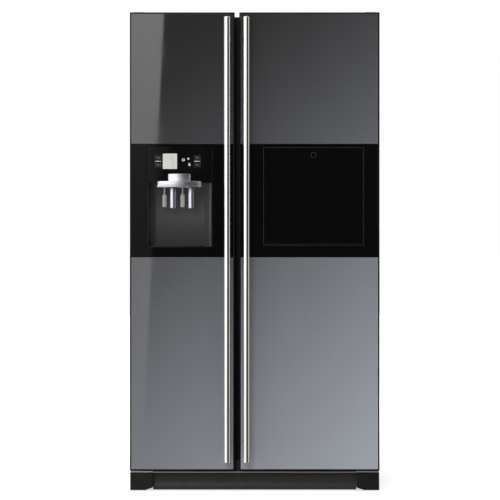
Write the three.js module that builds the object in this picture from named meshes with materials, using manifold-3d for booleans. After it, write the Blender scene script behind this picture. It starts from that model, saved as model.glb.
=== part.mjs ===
// A side by side refrigerator: a freezer behind the left door, with an ice and water
// dispenser in it, and a refrigerator behind the right door, with a home bar flap in it.
//
// Millimetres, +Z up, +X to the right as seen from the front, the front facing -Y.
// Every y below is a depth behind the face of the door glass. The last lines move the
// whole object, so that its origin is at the bottom centre of its box.
import * as THREE from "three";
import { mergeVertices } from "three/addons/utils/BufferGeometryUtils.js";
import Module from "manifold-3d";

const wasm = await Module();
wasm.setup();

// ---------------------------------------------------------------- driving sizes

const seat = 0.3; // left between pieces that touch
const slack = 1; // left round a piece that slides or lifts out
const past = 1; // how far a cutting shape runs past the face that it opens

const door = { bottom: 76, height: 1674, gap: 17.1, border: 5, borderSetback: 0.5, back: 62 };
const freezerDoorWidth = 382.6;
const fridgeDoorWidth = 512.3;
const glass = { thickness: 4, play: 0.5, seam: 2 };
const band = { bottom: 856, height: 413 };

const hinge = { inset: 25, depth: 33, pinRadius: 5, pinReach: 22, play: 0.5 };
const lowerHinge = { clear: 3, thickness: 5, front: 15, flangeDrop: 38, flangeThickness: 3.2 };
const upperHinge = { width: 34, thickness: 3, lift: 0.4, nose: 14, riser: 15.1, reach: 108.1 };
const hingeCover = { width: 44, wall: 3, front: 3.1, back: 135.1, rise: 15, slope: 18, mouth: 1 };

const liner = { thickness: 3, dykeInset: 8, dykeWidth: 12, dykeReach: 40, edge: 3 };
const gasket = { offset: 4, width: 13, thickness: 11 };
const gasketSqueeze = 0.3;

const cabinet = { overhang: 2, topDrop: 10, depth: 603, floor: 62, skirt: 10, skirtBottom: 28 };
const wall = { side: 60, mullion: 58, floor: 53, top: 55, rear: 67, machine: 48 };
const machineRoom = { depth: 237, roof: 305, baseBottom: 40, baseThickness: 3, coverSetback: 4 };
const ledge = { width: 6, height: 5, length: 380 };

const cover = { width: 83, bottom: 3, front: 14, rearClear: 3.4, wall: 3, rampLength: 28, ramp: 9 };
const grille = { front: 16, clear: 4, lip: 6, bottom: 9, cove: 40, wall: 3, foot: 8 };

const foot = { inset: 41, setback: 38.1, padRadius: 20, padHeight: 12, studRadius: 6, block: 22 };
const footBlockHeight = 26;
const roller = { inset: 56, fromBack: 119.9, radius: 17, width: 20, axleRadius: 4, cheek: 4, cheekHalf: 11 };

const compressor = { inset: 224, fromBack: 119.9, radius: 78, height: 165, shoulder: 26, lift: 8 };
compressor.plateHalf = { width: 105, depth: 70 };
const condenser = { inset: 54, width: 270, depth: 178, height: 152, clear: 28, shroud: 34, shroudWall: 3 };
const fan = { radius: 58, hub: 18, width: 20, blades: 5, blade: 2.5, chord: 26, pitch: 35, mouth: 62 };
fan.motorReach = 9;
const vent = { rows: 2, columns: 9, width: 60, height: 12, pitch: 84, rowPitch: 70, rise: 12 };
const gland = { radius: 11, hole: 5.5, inset: 33, rise: 22 };

const bin = { reach: 150, height: 100, wall: 3 };
const binUpperShare = 0.45; // how far up the upper bins hang between the dispenser and the dyke's top
const binLowerRise = 365; // from the compartment's floor to the floor of the lower bins

const shelf = { thickness: 8, clear: 15, sidePlay: 1 };
const fridgeShelfDrop = [285, 640];
const drawer = { clear: 20, height: 213, wall: 3, side: 8, lip: 14, lipDepth: 10, rearPlay: 3 };
const bucket = { height: 188, wall: 3, rearSpace: 52.9, side: 8, roomBelowTop: 205 };
const iceMaker = { boxLength: 102.6, height: 96, drop: 60, side: 14, tray: 180, trayRadius: 40, rail: 6 };
const evaporatorCover = { depth: 27, wall: 3, below: 14, slots: 5, slotWidth: 150, slotHeight: 8 };
evaporatorCover.slotPitch = 18;
evaporatorCover.slotMargin = 60;

const handle = { radius: 12, inset: 26.3, stand: 42, lowEnd: 29, highEnd: 17, chamfer: 3 };
const post = { radius: 7, inset: 75 };

const dispenser = { inset: 61, width: 240, rise: 34, height: 371, proud: 1, bulge: 19, panel: 134 };
dispenser.shoulder = 14;
const recess = { side: 5, draft: 20, floor: 4, rearWall: 3 };
const display = { x: -34.5, drop: 55, width: 52, height: 56, proud: 0.2, thickness: 1.7 };
const button = { left: -77.5, right: 65.5, spread: 13, width: 26, height: 18, corner: 3 };
button.thickness = 4.5;
button.proud = 0.6;
button.travelRoom = 2;
const hat = { radius: 85, flare: 2.5, squash: 0.447, depth: 6, drop: 16, brim: 22, crown: 43.5 };
hat.crownHeight = 27;
hat.wall = 5;
hat.hollow = 11;
hat.soft = 1.5;
const lever = { positions: [-24, 43], radius: 13, depth: 18, length: 83.3, edge: 3 };
lever.neckRadius = 3;
lever.neck = 5;
const nozzle = { positions: [-55.5, 11], depth: 16, stem: 3, radius: 8.5, shoulder: 30, flare: 12 };
nozzle.length = 83;
nozzle.plate = 4;
nozzle.tipRadius = 6;
nozzle.taper = 3;
const dripTray = { thickness: 5, front: 4, rear: 74, side: 24, slots: 9, slotWidth: 8, rim: 12 };

const bar = { inset: 59, width: 365.2, rise: 42, height: 359, play: 3, thickness: 20 };
const barMouth = { side: 16, floor: 22, head: 16, wall: 3, setback: 3 };
const barPad = { side: 20, floor: 32, head: 22, thickness: 13 };
const barLatch = { drop: 28, size: 22, corner: 2, thickness: 5, travelRoom: 4, play: 0.5 };
const barBin = { floorDrop: 3, height: 92 };

const roundSides = 24;
const wideSides = 48;
const pinSides = 16;

// ------------------------------------------------------------- spans and places

const grow = ([low, high], by) => [low - by, high + by];
const span = (a, b) => [Math.min(a, b), Math.max(a, b)];
const middle = ([low, high]) => (low + high) / 2;
const about = (centre, half) => [centre - half, centre + half];

const overallWidth = freezerDoorWidth + door.gap + fridgeDoorWidth;
const doorZ = [door.bottom, door.bottom + door.height];
const bandZ = [band.bottom, band.bottom + band.height];
const linerFace = door.back + seat;
const linerBack = linerFace + liner.thickness;
const cabinetFront = linerBack + seat + gasket.thickness + gasketSqueeze;
const cabinetBack = cabinetFront + cabinet.depth;
const cabinetX = about(0, overallWidth / 2 - cabinet.overhang);
const cabinetTop = doorZ[1] - cabinet.topDrop;
const machineFront = cabinetBack - machineRoom.depth;
const machineDepth = cabinetBack - compressor.fromBack;
const rollerDepth = cabinetBack - roller.fromBack;
const footDepth = cabinetFront + foot.setback;
const condenserX = [cabinetX[1] - condenser.inset - condenser.width, cabinetX[1] - condenser.inset];
const lowerHingeZ = [doorZ[0] - lowerHinge.clear - lowerHinge.thickness, doorZ[0] - lowerHinge.clear];
const flangeY = [cabinetFront - seat - lowerHinge.flangeThickness, cabinetFront - seat];

// A door's place: side is -1 for the left one and 1 for the right one.
function doorPlace(side, width) {
  const edge = (side * overallWidth) / 2;
  const free = edge - side * width;
  return { side, edge, free, x: span(edge, free), pivot: edge - side * hinge.inset };
}

const freezerDoor = doorPlace(-1, freezerDoorWidth);
const fridgeDoor = doorPlace(1, fridgeDoorWidth);
const mullionX = about((freezerDoor.free + fridgeDoor.free) / 2, wall.mullion / 2);
const roomZ = [cabinet.floor + wall.floor, cabinetTop - wall.top];
const roomRear = cabinetBack - wall.rear;
const roomStep = machineFront - wall.machine;
const stepTop = machineRoom.roof + wall.machine;
const freezerRoomX = [cabinetX[0] + wall.side, mullionX[0]];
const fridgeRoomX = [mullionX[1], cabinetX[1] - wall.side];

const dispenserLeft = freezerDoor.edge + dispenser.inset;
const dispenserX = [dispenserLeft, dispenserLeft + dispenser.width];
const dispenserZ = [band.bottom + dispenser.rise, band.bottom + dispenser.rise + dispenser.height];
const dispenserMiddle = middle(dispenserX);
const dispenserRearX = grow(dispenserX, -dispenser.shoulder);
const dispenserBack = door.back + dispenser.bulge;
const recessZ = [dispenserZ[0] + recess.floor, dispenserZ[1] - dispenser.panel];
const recessRear = dispenserBack - recess.rearWall;

const barX = [fridgeDoor.edge - bar.inset - bar.width, fridgeDoor.edge - bar.inset];
const barZ = [band.bottom + bar.rise, band.bottom + bar.rise + bar.height];
const barKnuckle = bar.thickness / 2;
const barMouthX = grow(barX, -barMouth.side);
const barMouthZ = [barZ[0] + barMouth.floor, barZ[1] - barMouth.head];

// ---------------------------------------------------------------------- shapes

// A closed three.js geometry as a solid that can be joined and cut.
function solid(geometry) {
  geometry.deleteAttribute("normal");
  geometry.deleteAttribute("uv");
  const merged = mergeVertices(geometry, 1e-4);
  const corners = [];
  for (let i = 0; i < merged.index.count; i += 3) {
    const [a, b, c] = [0, 1, 2].map((k) => merged.index.getX(i + k));
    if (a !== b && b !== c && c !== a) corners.push(a, b, c);
  }
  const vertProperties = Float32Array.from(merged.attributes.position.array);
  return new wasm.Manifold(
    new wasm.Mesh({ numProp: 3, vertProperties, triVerts: Uint32Array.from(corners) }),
  );
}

// The geometry of a solid, for a mesh.
function geometryOf(shape) {
  const { vertProperties, triVerts } = shape.getMesh();
  const geometry = new THREE.BufferGeometry();
  geometry.setAttribute("position", new THREE.BufferAttribute(vertProperties, 3));
  geometry.setIndex(new THREE.BufferAttribute(triVerts, 1));
  geometry.computeVertexNormals();
  return geometry;
}

const join = (...shapes) => shapes.reduce((whole, next) => whole.add(next));
const cut = (shape, ...tools) => tools.reduce((left, tool) => left.subtract(tool), shape);

// A block given by its span along each axis.
function block(x, y, z) {
  const box = new THREE.BoxGeometry(x[1] - x[0], y[1] - y[0], z[1] - z[0]);
  box.translate(middle(x), middle(y), middle(z));
  return solid(box);
}

const axisX = new THREE.Vector3(1, 0, 0);
const axisY = new THREE.Vector3(0, 1, 0);
const axisZ = new THREE.Vector3(0, 0, 1);

// An outline pushed along one axis. Its own two axes become u and v.
function pushed(shape, u, v, start, length) {
  const direction = new THREE.Vector3().crossVectors(u, v);
  const options = { depth: length, bevelEnabled: false, curveSegments: 8 };
  const geometry = new THREE.ExtrudeGeometry(shape, options);
  geometry.applyMatrix4(new THREE.Matrix4().makeBasis(u, v, direction));
  geometry.translate(start.x, start.y, start.z);
  return solid(geometry);
}

const outline = (points) => new THREE.Shape(points.map(([u, v]) => new THREE.Vector2(u, v)));

// An outline of (y, z) points, pushed along x.
const alongX = (shape, x) => pushed(shape, axisY, axisZ, new THREE.Vector3(x[0], 0, 0), x[1] - x[0]);

// An outline of (x, z) points, pushed along y.
const alongY = (shape, y) => pushed(shape, axisX, axisZ, new THREE.Vector3(0, y[1], 0), y[1] - y[0]);

// An outline of (x, y) points, pushed along z.
const alongZ = (shape, z) => pushed(shape, axisX, axisY, new THREE.Vector3(0, 0, z[0]), z[1] - z[0]);

// A rectangle with round corners.
function roundedRectangle([left, right], [low, high], radius) {
  const shape = new THREE.Shape();
  shape.moveTo(left + radius, low);
  shape.lineTo(right - radius, low);
  shape.absarc(right - radius, low + radius, radius, -Math.PI / 2, 0);
  shape.lineTo(right, high - radius);
  shape.absarc(right - radius, high - radius, radius, 0, Math.PI / 2);
  shape.lineTo(left + radius, high);
  shape.absarc(left + radius, high - radius, radius, Math.PI / 2, Math.PI);
  shape.lineTo(left, low + radius);
  shape.absarc(left + radius, low + radius, radius, Math.PI, 1.5 * Math.PI);
  return shape;
}

// A round bar along x, y or z between two ends.
function rod(axis, centre, radius, ends, sides = roundSides) {
  const bar = new THREE.CylinderGeometry(radius, radius, ends[1] - ends[0], sides);
  bar.applyQuaternion(new THREE.Quaternion().setFromUnitVectors(axisY, axis));
  const middlePoint = axis.clone().multiplyScalar(middle(ends)).add(centre);
  bar.translate(middlePoint.x, middlePoint.y, middlePoint.z);
  return solid(bar);
}

const upright = (x, y, radius, z, sides) => rod(axisZ, new THREE.Vector3(x, y, 0), radius, z, sides);
const crosswise = (y, z, radius, x, sides) => rod(axisX, new THREE.Vector3(0, y, z), radius, x, sides);
const inwards = (x, z, radius, y, sides) => rod(axisY, new THREE.Vector3(x, 0, z), radius, y, sides);

// A shape turned about a vertical line through x = y = 0, from (radius, z) points.
function turned(points, sides = roundSides) {
  const lathe = new THREE.LatheGeometry(points.map(([r, z]) => new THREE.Vector2(r, z)), sides);
  lathe.rotateX(Math.PI / 2);
  return solid(lathe);
}

// A box open at the top. frontTop is the height of its front wall, which may be lower than z[1].
function openBox(x, y, z, thickness, frontTop = z[1]) {
  const inside = block(grow(x, -thickness), grow(y, -thickness), [z[0] + thickness, z[1] + past]);
  const frontY = [y[0] - past, y[0] + thickness + past];
  const frontCut = block(grow(x, -thickness), frontY, [frontTop, z[1] + past]);
  return cut(block(x, y, z), inside, frontCut);
}

// ------------------------------------------------------------------- materials

const finish = (color, roughness, metalness) => () =>
  new THREE.MeshStandardMaterial({ color, roughness, metalness });

const greyGlass = finish(0x62666c, 0.06, 0.4);
const blackGlass = finish(0x0b0b0c, 0.05, 0.1);
const blackTrim = finish(0x141416, 0.4, 0);
const darkPaint = finish(0x2b2d30, 0.45, 0.3);
const darkPlastic = finish(0x37373a, 0.5, 0);
const whitePlastic = finish(0xf1f2f0, 0.35, 0);
const greyRubber = finish(0x55585b, 0.7, 0);
const brushedSteel = finish(0xc8c6c0, 0.3, 1);
const chrome = finish(0xe2e4e8, 0.08, 1);
const satinGrey = finish(0xa9aaab, 0.35, 0.4);
const zincSteel = finish(0x9a9c9e, 0.4, 0.9);
const paleDisplay = finish(0xc9ccc4, 0.3, 0);
const clearPlastic = finish(0xdfe9ec, 0.15, 0);
const blackPaint = finish(0x18191a, 0.4, 0.2);
const copperGrey = finish(0x4a4c4e, 0.5, 0.6);

// ------------------------------------------------------------ the scene's tree

const refrigerator = new THREE.Group();
const cabinetGroup = new THREE.Group();
const freezerDoorGroup = new THREE.Group();
const fridgeDoorGroup = new THREE.Group();
refrigerator.add(cabinetGroup, freezerDoorGroup, fridgeDoorGroup);

// Adds one named piece to a group, with its own material, at a place.
function piece(group, name, shape, material, place = [0, 0, 0]) {
  const mesh = new THREE.Mesh(geometryOf(shape), material());
  mesh.name = name;
  mesh.position.set(...place);
  group.add(mesh);
}

// --------------------------------------------------------------------- cabinet

// The inside of both compartments as a (y, z) outline, pushed outwards by a distance.
// The rear steps up over the machine room.
function roomOutline(out, front) {
  return outline([
    [front, roomZ[0] - out],
    [roomStep + out, roomZ[0] - out],
    [roomStep + out, stepTop - out],
    [roomRear + out, stepTop - out],
    [roomRear + out, roomZ[1] + out],
    [front, roomZ[1] + out],
  ]);
}

// A pair of cheeks that hold one roller's axle under the machine room's base.
function rollerCheeks(x) {
  const out = roller.width / 2 + slack;
  const cheeks = [-1, 1].map((side) =>
    block(
      span(x + side * out, x + side * (out + roller.cheek)),
      about(rollerDepth, roller.cheekHalf),
      [roller.radius - roller.cheekHalf, machineRoom.baseBottom + seat],
    ),
  );
  const bore = roller.axleRadius + hinge.play;
  const reach = about(x, out + roller.cheek + past);
  return cut(join(...cheeks), crosswise(rollerDepth, roller.radius, bore, reach, pinSides));
}

// The foamed cabinet: steel case, insulation, skirts, the machine room's base and the feet's nuts.
function cabinetSolid() {
  const body = alongX(
    outline([
      [cabinetFront, cabinet.floor],
      [machineFront, cabinet.floor],
      [machineFront, machineRoom.roof],
      [cabinetBack, machineRoom.roof],
      [cabinetBack, cabinetTop],
      [cabinetFront, cabinetTop],
    ]),
    cabinetX,
  );
  const skirts = [-1, 1].map((side) => {
    const outer = side * cabinetX[1];
    const x = span(outer, outer - side * cabinet.skirt);
    return block(x, [cabinetFront, cabinetBack], [cabinet.skirtBottom, machineRoom.roof + past]);
  });
  const base = block(
    grow(cabinetX, -cabinet.skirt + past),
    [machineFront, cabinetBack - machineRoom.coverSetback - 2 * machineRoom.baseThickness],
    [machineRoom.baseBottom, machineRoom.baseBottom + machineRoom.baseThickness],
  );
  const nuts = [-1, 1].map((side) =>
    block(
      about(side * (cabinetX[1] - foot.inset), foot.block),
      about(footDepth, foot.block),
      [cabinet.floor - footBlockHeight, cabinet.floor + past],
    ),
  );
  const cheeks = [-1, 1].map((side) => rollerCheeks(side * (cabinetX[1] - roller.inset)));
  const linerRoom = liner.thickness + seat;
  const rooms = [freezerRoomX, fridgeRoomX].map((x) =>
    alongX(roomOutline(linerRoom, cabinetFront - past), grow(x, linerRoom)),
  );
  const bores = [-1, 1].map((side) =>
    upright(
      side * (cabinetX[1] - foot.inset),
      footDepth,
      foot.studRadius + hinge.play,
      [cabinet.floor - footBlockHeight - past, cabinet.floor],
      pinSides,
    ),
  );
  return cut(join(body, ...skirts, base, ...nuts, ...cheeks), ...rooms, ...bores);
}

// One compartment's liner, with a pair of ledges under each shelf.
function linerSolid(x, shelfHeights) {
  const outside = alongX(roomOutline(liner.thickness, cabinetFront), grow(x, liner.thickness));
  const shell = cut(outside, alongX(roomOutline(0, cabinetFront - past), x));
  const ledges = shelfHeights.flatMap((height) => {
    const y = [roomRear - ledge.length, roomRear + past];
    const z = [height - ledge.height, height];
    return [
      block([x[0] - past, x[0] + ledge.width], y, z),
      block([x[1] - ledge.width, x[1] + past], y, z),
    ];
  });
  return join(shell, ...ledges);
}

const bucketFloor = roomZ[1] - bucket.roomBelowTop - bucket.height;
const freezerLedge = bucketFloor - 2 * seat - shelf.thickness;
const fridgeLedges = fridgeShelfDrop.map((drop) => roomZ[1] - drop);

function addCabinet() {
  piece(cabinetGroup, "cabinet", cabinetSolid(), darkPaint);
  piece(cabinetGroup, "freezer_liner", linerSolid(freezerRoomX, [freezerLedge]), whitePlastic);
  piece(cabinetGroup, "fridge_liner", linerSolid(fridgeRoomX, fridgeLedges), whitePlastic);
}

// ---------------------------------------------------------- inside the cabinet

// A flat shelf that lies on a pair of ledges.
function shelfSolid(x) {
  return block(grow(x, -shelf.sidePlay), [bin.reach + shelf.clear, roomRear - slack], [0, shelf.thickness]);
}

function addShelves() {
  const freezerPlace = [0, 0, freezerLedge + seat];
  piece(cabinetGroup, "freezer_shelf", shelfSolid(freezerRoomX), clearPlastic, freezerPlace);
  ["fridge_shelf_upper", "fridge_shelf_lower"].forEach((name, i) => {
    piece(cabinetGroup, name, shelfSolid(fridgeRoomX), clearPlastic, [0, 0, fridgeLedges[i] + seat]);
  });
}

const drawerFront = bin.reach + drawer.clear;

// An open drawer with a lip to pull it by.
function drawerSolid(x) {
  const width = grow(x, -drawer.side);
  const box = openBox(width, [drawerFront, roomStep - drawer.rearPlay], [0, drawer.height], drawer.wall);
  const lip = block(
    width,
    [drawerFront - drawer.lipDepth, drawerFront + past],
    [drawer.height - drawer.lip, drawer.height - drawer.lip + drawer.wall],
  );
  return join(box, lip);
}

function addDrawers() {
  const place = [0, 0, roomZ[0] + seat];
  piece(cabinetGroup, "freezer_drawer", drawerSolid(freezerRoomX), clearPlastic, place);
  piece(cabinetGroup, "fridge_drawer", drawerSolid(fridgeRoomX), clearPlastic, place);
}

// The ice maker: a gear box in front of a trough, hung on the rear wall.
function iceMakerSolid() {
  const x = grow(freezerRoomX, -iceMaker.side);
  const z = [roomZ[1] - iceMaker.drop - iceMaker.height, roomZ[1] - iceMaker.drop];
  const trayFront = roomRear - seat - iceMaker.tray;
  const box = block(x, [trayFront - iceMaker.boxLength, trayFront + past], z);
  const trough = inwards(middle(x), middle(z), iceMaker.trayRadius, [trayFront, roomRear - seat]);
  const rail = block(
    about(middle(x), iceMaker.trayRadius + iceMaker.rail),
    [trayFront, roomRear - seat],
    [middle(z), z[1]],
  );
  return join(box, trough, rail);
}

// The pan over the evaporator on the freezer's rear wall, open behind, with air slots near its top.
function evaporatorCoverSolid() {
  const { depth, wall: thick, below, slotMargin, slotPitch, slotWidth, slotHeight } = evaporatorCover;
  const x = grow(freezerRoomX, -slack);
  const y = [roomRear - seat - depth, roomRear - seat];
  const z = [stepTop + seat, freezerLedge - ledge.height - below];
  const inside = block(grow(x, -thick), [y[0] + thick, y[1] + past], grow(z, -thick));
  const slots = [];
  for (let i = 0; i < evaporatorCover.slots; i += 1) {
    const low = z[1] - slotMargin - i * slotPitch;
    const across = about(middle(x), slotWidth / 2);
    slots.push(block(across, [y[0] - past, y[0] + thick + past], [low, low + slotHeight]));
  }
  return cut(block(x, y, z), inside, ...slots);
}

function addFreezerFittings() {
  const bucketX = grow(freezerRoomX, -bucket.side);
  const bucketY = [drawerFront, roomRear - bucket.rearSpace];
  const bucketSolid = openBox(bucketX, bucketY, [0, bucket.height], bucket.wall);
  piece(cabinetGroup, "ice_bucket", bucketSolid, clearPlastic, [0, 0, bucketFloor]);
  piece(cabinetGroup, "ice_maker", iceMakerSolid(), whitePlastic);
  piece(cabinetGroup, "evaporator_cover", evaporatorCoverSolid(), whitePlastic);
}

// ----------------------------------------------------------------- machine room

const machineFloor = machineRoom.baseBottom + machineRoom.baseThickness + seat;

// The compressor's welded can, on its mounting plate.
function compressorSolid() {
  const { radius, height, lift, shoulder, plateHalf } = compressor;
  const can = turned([
    [0, lift],
    [radius - shoulder / 2, lift],
    [radius, lift + shoulder / 2],
    [radius, height - shoulder],
    [radius - shoulder / 3, height - shoulder / 3],
    [radius - shoulder, height],
    [0, height],
  ]);
  const plate = block(about(0, plateHalf.width), about(0, plateHalf.depth), [0, lift + past]);
  return join(can, plate);
}

// The condenser's finned block, with a shroud and a motor on its left for the fan.
function condenserSolid() {
  const y = about(0, condenser.depth / 2);
  const z = [0, condenser.height];
  const axisHeight = condenser.height / 2;
  const fins = block([0, condenser.width], y, z);
  const { shroud: reach, shroudWall: thick } = condenser;
  const shroud = cut(
    block([-reach, past], y, z),
    block([thick - reach, 2 * past], grow(y, -thick), grow(z, -thick)),
    crosswise(0, axisHeight, fan.mouth, [-reach - past, 0]),
  );
  const motor = crosswise(0, axisHeight, fan.hub, [-reach - fan.motorReach, past]);
  return join(fins, shroud, motor);
}

// The condenser's fan, which turns about x.
function fanSolid() {
  const hub = crosswise(0, 0, fan.hub, about(0, fan.width / 2));
  const blades = [];
  for (let i = 0; i < fan.blades; i += 1) {
    const blade = block(about(0, fan.blade / 2), about(0, fan.chord / 2), [fan.hub - past, fan.radius]);
    blades.push(blade.rotate([0, 0, 90 - fan.pitch]).rotate([(360 / fan.blades) * i, 0, 0]));
  }
  return join(hub, ...blades);
}

// The vented cover over the machine room, with the gland that a mains lead would pass.
function machineCoverSolid() {
  const x = grow(cabinetX, -cabinet.skirt - slack);
  const rear = cabinetBack - machineRoom.coverSetback;
  const y = [rear - machineRoom.baseThickness, rear];
  const z = [machineFloor + slack, machineRoom.roof - slack];
  const vents = [];
  for (let row = 0; row < vent.rows; row += 1) {
    for (let column = 0; column < vent.columns; column += 1) {
      const centre = (column - (vent.columns - 1) / 2) * vent.pitch;
      const low = middle(z) + (row - vent.rows / 2) * vent.rowPitch + vent.rise;
      vents.push(block(about(centre, vent.width / 2), grow(y, past), [low, low + vent.height]));
    }
  }
  const glandX = x[0] + gland.inset;
  const glandZ = z[0] + gland.rise;
  const collar = inwards(glandX, glandZ, gland.radius, [y[0], cabinetBack], pinSides);
  const leadHole = inwards(glandX, glandZ, gland.hole, grow([y[0], cabinetBack], past), pinSides);
  return cut(join(block(x, y, z), collar), ...vents, leadHole);
}

function addMachineRoom() {
  const compressorPlace = [cabinetX[0] + compressor.inset, machineDepth, machineFloor];
  piece(cabinetGroup, "compressor", compressorSolid(), blackPaint, compressorPlace);
  const condenserDepth = machineFront + condenser.clear + condenser.depth / 2;
  const condenserPlace = [condenserX[0], condenserDepth, machineFloor];
  piece(cabinetGroup, "condenser", condenserSolid(), copperGrey, condenserPlace);
  const fanX = condenserX[0] - condenser.shroud - fan.motorReach - seat - fan.width / 2;
  const fanPlace = [fanX, condenserDepth, machineFloor + condenser.height / 2];
  piece(cabinetGroup, "condenser_fan", fanSolid(), darkPlastic, fanPlace);
  piece(cabinetGroup, "machine_cover", machineCoverSolid(), zincSteel);
}

// ---------------------------------------------------------- feet and the plinth

function addFeetAndRollers() {
  const stud = upright(0, 0, foot.studRadius, [0, cabinet.floor - slack], pinSides);
  const pad = upright(0, 0, foot.padRadius, [0, foot.padHeight]);
  const wheel = crosswise(0, 0, roller.radius, about(0, roller.width / 2));
  const axleHalf = roller.width / 2 + slack + roller.cheek;
  const axle = crosswise(0, 0, roller.axleRadius, about(0, axleHalf), pinSides);
  [["left", -1], ["right", 1]].forEach(([name, side]) => {
    const footPlace = [side * (cabinetX[1] - foot.inset), footDepth, 0];
    piece(cabinetGroup, `${name}_foot`, join(stud, pad), darkPlastic, footPlace);
    const rollerPlace = [side * (cabinetX[1] - roller.inset), rollerDepth, roller.radius];
    piece(cabinetGroup, `${name}_roller`, join(wheel, axle), darkPlastic, rollerPlace);
  });
}

// The plinth between the corner covers: a lip, and a cove below it.
function baseGrilleSolid() {
  const { front, lip, bottom, cove, foot: footOut, wall: thick } = grille;
  const top = doorZ[0] - grille.clear;
  const low = front + footOut;
  const shape = new THREE.Shape();
  shape.moveTo(front, top);
  shape.lineTo(front, top - lip);
  shape.quadraticCurveTo(front + cove, middle([bottom, top - lip]), low, bottom);
  shape.lineTo(low + thick, bottom);
  shape.quadraticCurveTo(
    front + cove + thick,
    middle([bottom, top - lip]),
    front + 2 * thick,
    top - thick,
  );
  shape.lineTo(cabinetFront - seat, top - thick);
  shape.lineTo(cabinetFront - seat, top);
  const half = overallWidth / 2 - cover.width - seat;
  return alongX(shape, [-half, half]);
}

// A hollow corner block of the plinth. Its bottom rises towards the grille.
function cornerCoverSolid(side) {
  const outer = (side * overallWidth) / 2;
  const inner = outer - side * cover.width;
  const top = lowerHingeZ[0] - slack;
  const back = flangeY[0] - cover.rearClear;
  const shape = outline([
    [outer, cover.bottom],
    [inner + side * cover.rampLength, cover.bottom],
    [inner, cover.bottom + cover.ramp],
    [inner, top],
    [outer, top],
  ]);
  const hollow = block(
    grow(span(outer, inner), -cover.wall),
    [cover.front + cover.wall, back + past],
    [cover.bottom + cover.ramp + cover.wall, top - cover.wall],
  );
  return cut(alongY(shape, [cover.front, back]), hollow);
}

function addPlinth() {
  piece(cabinetGroup, "base_grille", baseGrilleSolid(), darkPlastic);
  piece(cabinetGroup, "left_corner_cover", cornerCoverSolid(-1), blackTrim);
  piece(cabinetGroup, "right_corner_cover", cornerCoverSolid(1), blackTrim);
}

// ---------------------------------------------------------------------- hinges

// The plate under a door's lower corner, with its flange on the cabinet's front and its pin.
function lowerHingeSolid({ side, edge, pivot }) {
  const x = span(edge - side * slack, edge - side * cover.width);
  const plate = block(x, [lowerHinge.front, flangeY[1]], lowerHingeZ);
  const flange = block(x, flangeY, [lowerHingeZ[0] - lowerHinge.flangeDrop, lowerHingeZ[1]]);
  const pinZ = [lowerHingeZ[0], doorZ[0] + hinge.pinReach];
  const pin = upright(pivot, hinge.depth, hinge.pinRadius, pinZ, pinSides);
  return join(plate, flange, pin);
}

// The arm over a door's upper corner. It steps down onto the cabinet's top.
function upperHingeSolid({ pivot }) {
  const arm = doorZ[1] + upperHinge.lift;
  const base = cabinetTop + seat;
  const nose = hinge.depth - upperHinge.nose;
  const { thickness, width } = upperHinge;
  const riser = cabinetFront + upperHinge.riser;
  const reach = cabinetFront + upperHinge.reach;
  const strip = alongX(
    outline([
      [nose, arm],
      [riser, arm],
      [riser, base],
      [reach, base],
      [reach, base + thickness],
      [riser + thickness, base + thickness],
      [riser + thickness, arm + thickness],
      [nose, arm + thickness],
    ]),
    about(pivot, width / 2),
  );
  const pinZ = [doorZ[1] - hinge.pinReach, arm + thickness];
  const pin = upright(pivot, hinge.depth, hinge.pinRadius, pinZ, pinSides);
  return join(strip, pin);
}

// The cap over an upper hinge, with a mouth for its arm.
function hingeCoverSolid({ pivot }) {
  const { slope, wall: thick, width, mouth } = hingeCover;
  const front = cabinetFront + hingeCover.front;
  const back = cabinetFront + hingeCover.back;
  const base = cabinetTop + seat;
  const armTop = doorZ[1] + upperHinge.lift + upperHinge.thickness + mouth;
  const height = doorZ[1] + hingeCover.rise - base;
  const outside = outline([
    [front, base],
    [front, base + height / 2],
    [front + slope, base + height],
    [back - slope, base + height],
    [back, base + height / 2],
    [back, base],
  ]);
  const insideY = [front - past, back - slope - thick];
  const inside = block(about(pivot, width / 2 - thick), insideY, [base - past, armTop]);
  return cut(alongX(outside, about(pivot, width / 2)), inside);
}

function addHinges() {
  [["left", freezerDoor], ["right", fridgeDoor]].forEach(([name, place]) => {
    piece(cabinetGroup, `${name}_lower_hinge`, lowerHingeSolid(place), zincSteel);
    piece(cabinetGroup, `${name}_upper_hinge`, upperHingeSolid(place), zincSteel);
    piece(cabinetGroup, `${name}_hinge_cover`, hingeCoverSolid(place), blackTrim);
  });
}

// ------------------------------------------------------------- both doors alike

// A foamed door slab: a border round the seat of the glass, and the bores of the hinge pins.
function slabSolid({ x, pivot }, ...openings) {
  const slab = block(x, [door.borderSetback, door.back], doorZ);
  const glassY = [-past, glass.thickness + seat];
  const glassSeat = block(grow(x, -door.border), glassY, grow(doorZ, -door.border));
  const bore = hinge.pinRadius + hinge.play;
  const reach = hinge.pinReach + slack;
  return cut(
    slab,
    glassSeat,
    upright(pivot, hinge.depth, bore, [doorZ[0] - past, doorZ[0] + reach], pinSides),
    upright(pivot, hinge.depth, bore, [doorZ[1] - reach, doorZ[1] + past], pinSides),
    ...openings,
  );
}

// A pane of the door's front between two heights.
function paneSolid({ x }, z) {
  return block(grow(x, -door.border - glass.play), [0, glass.thickness], z);
}

// The inner skin of a door: a sheet, and the raised dyke that holds the bins.
function doorLinerSolid({ x }, roomX) {
  const sheet = block(grow(x, -liner.edge), [linerFace, linerBack], grow(doorZ, -liner.edge));
  const dykeX = grow(roomX, -liner.dykeInset);
  const dykeZ = grow(roomZ, -liner.dykeInset);
  const reach = [linerFace, linerBack + liner.dykeReach];
  const dyke = cut(
    block(dykeX, reach, dykeZ),
    block(grow(dykeX, -liner.dykeWidth), grow(reach, past), grow(dykeZ, -liner.dykeWidth)),
  );
  return join(sheet, dyke);
}

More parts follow.
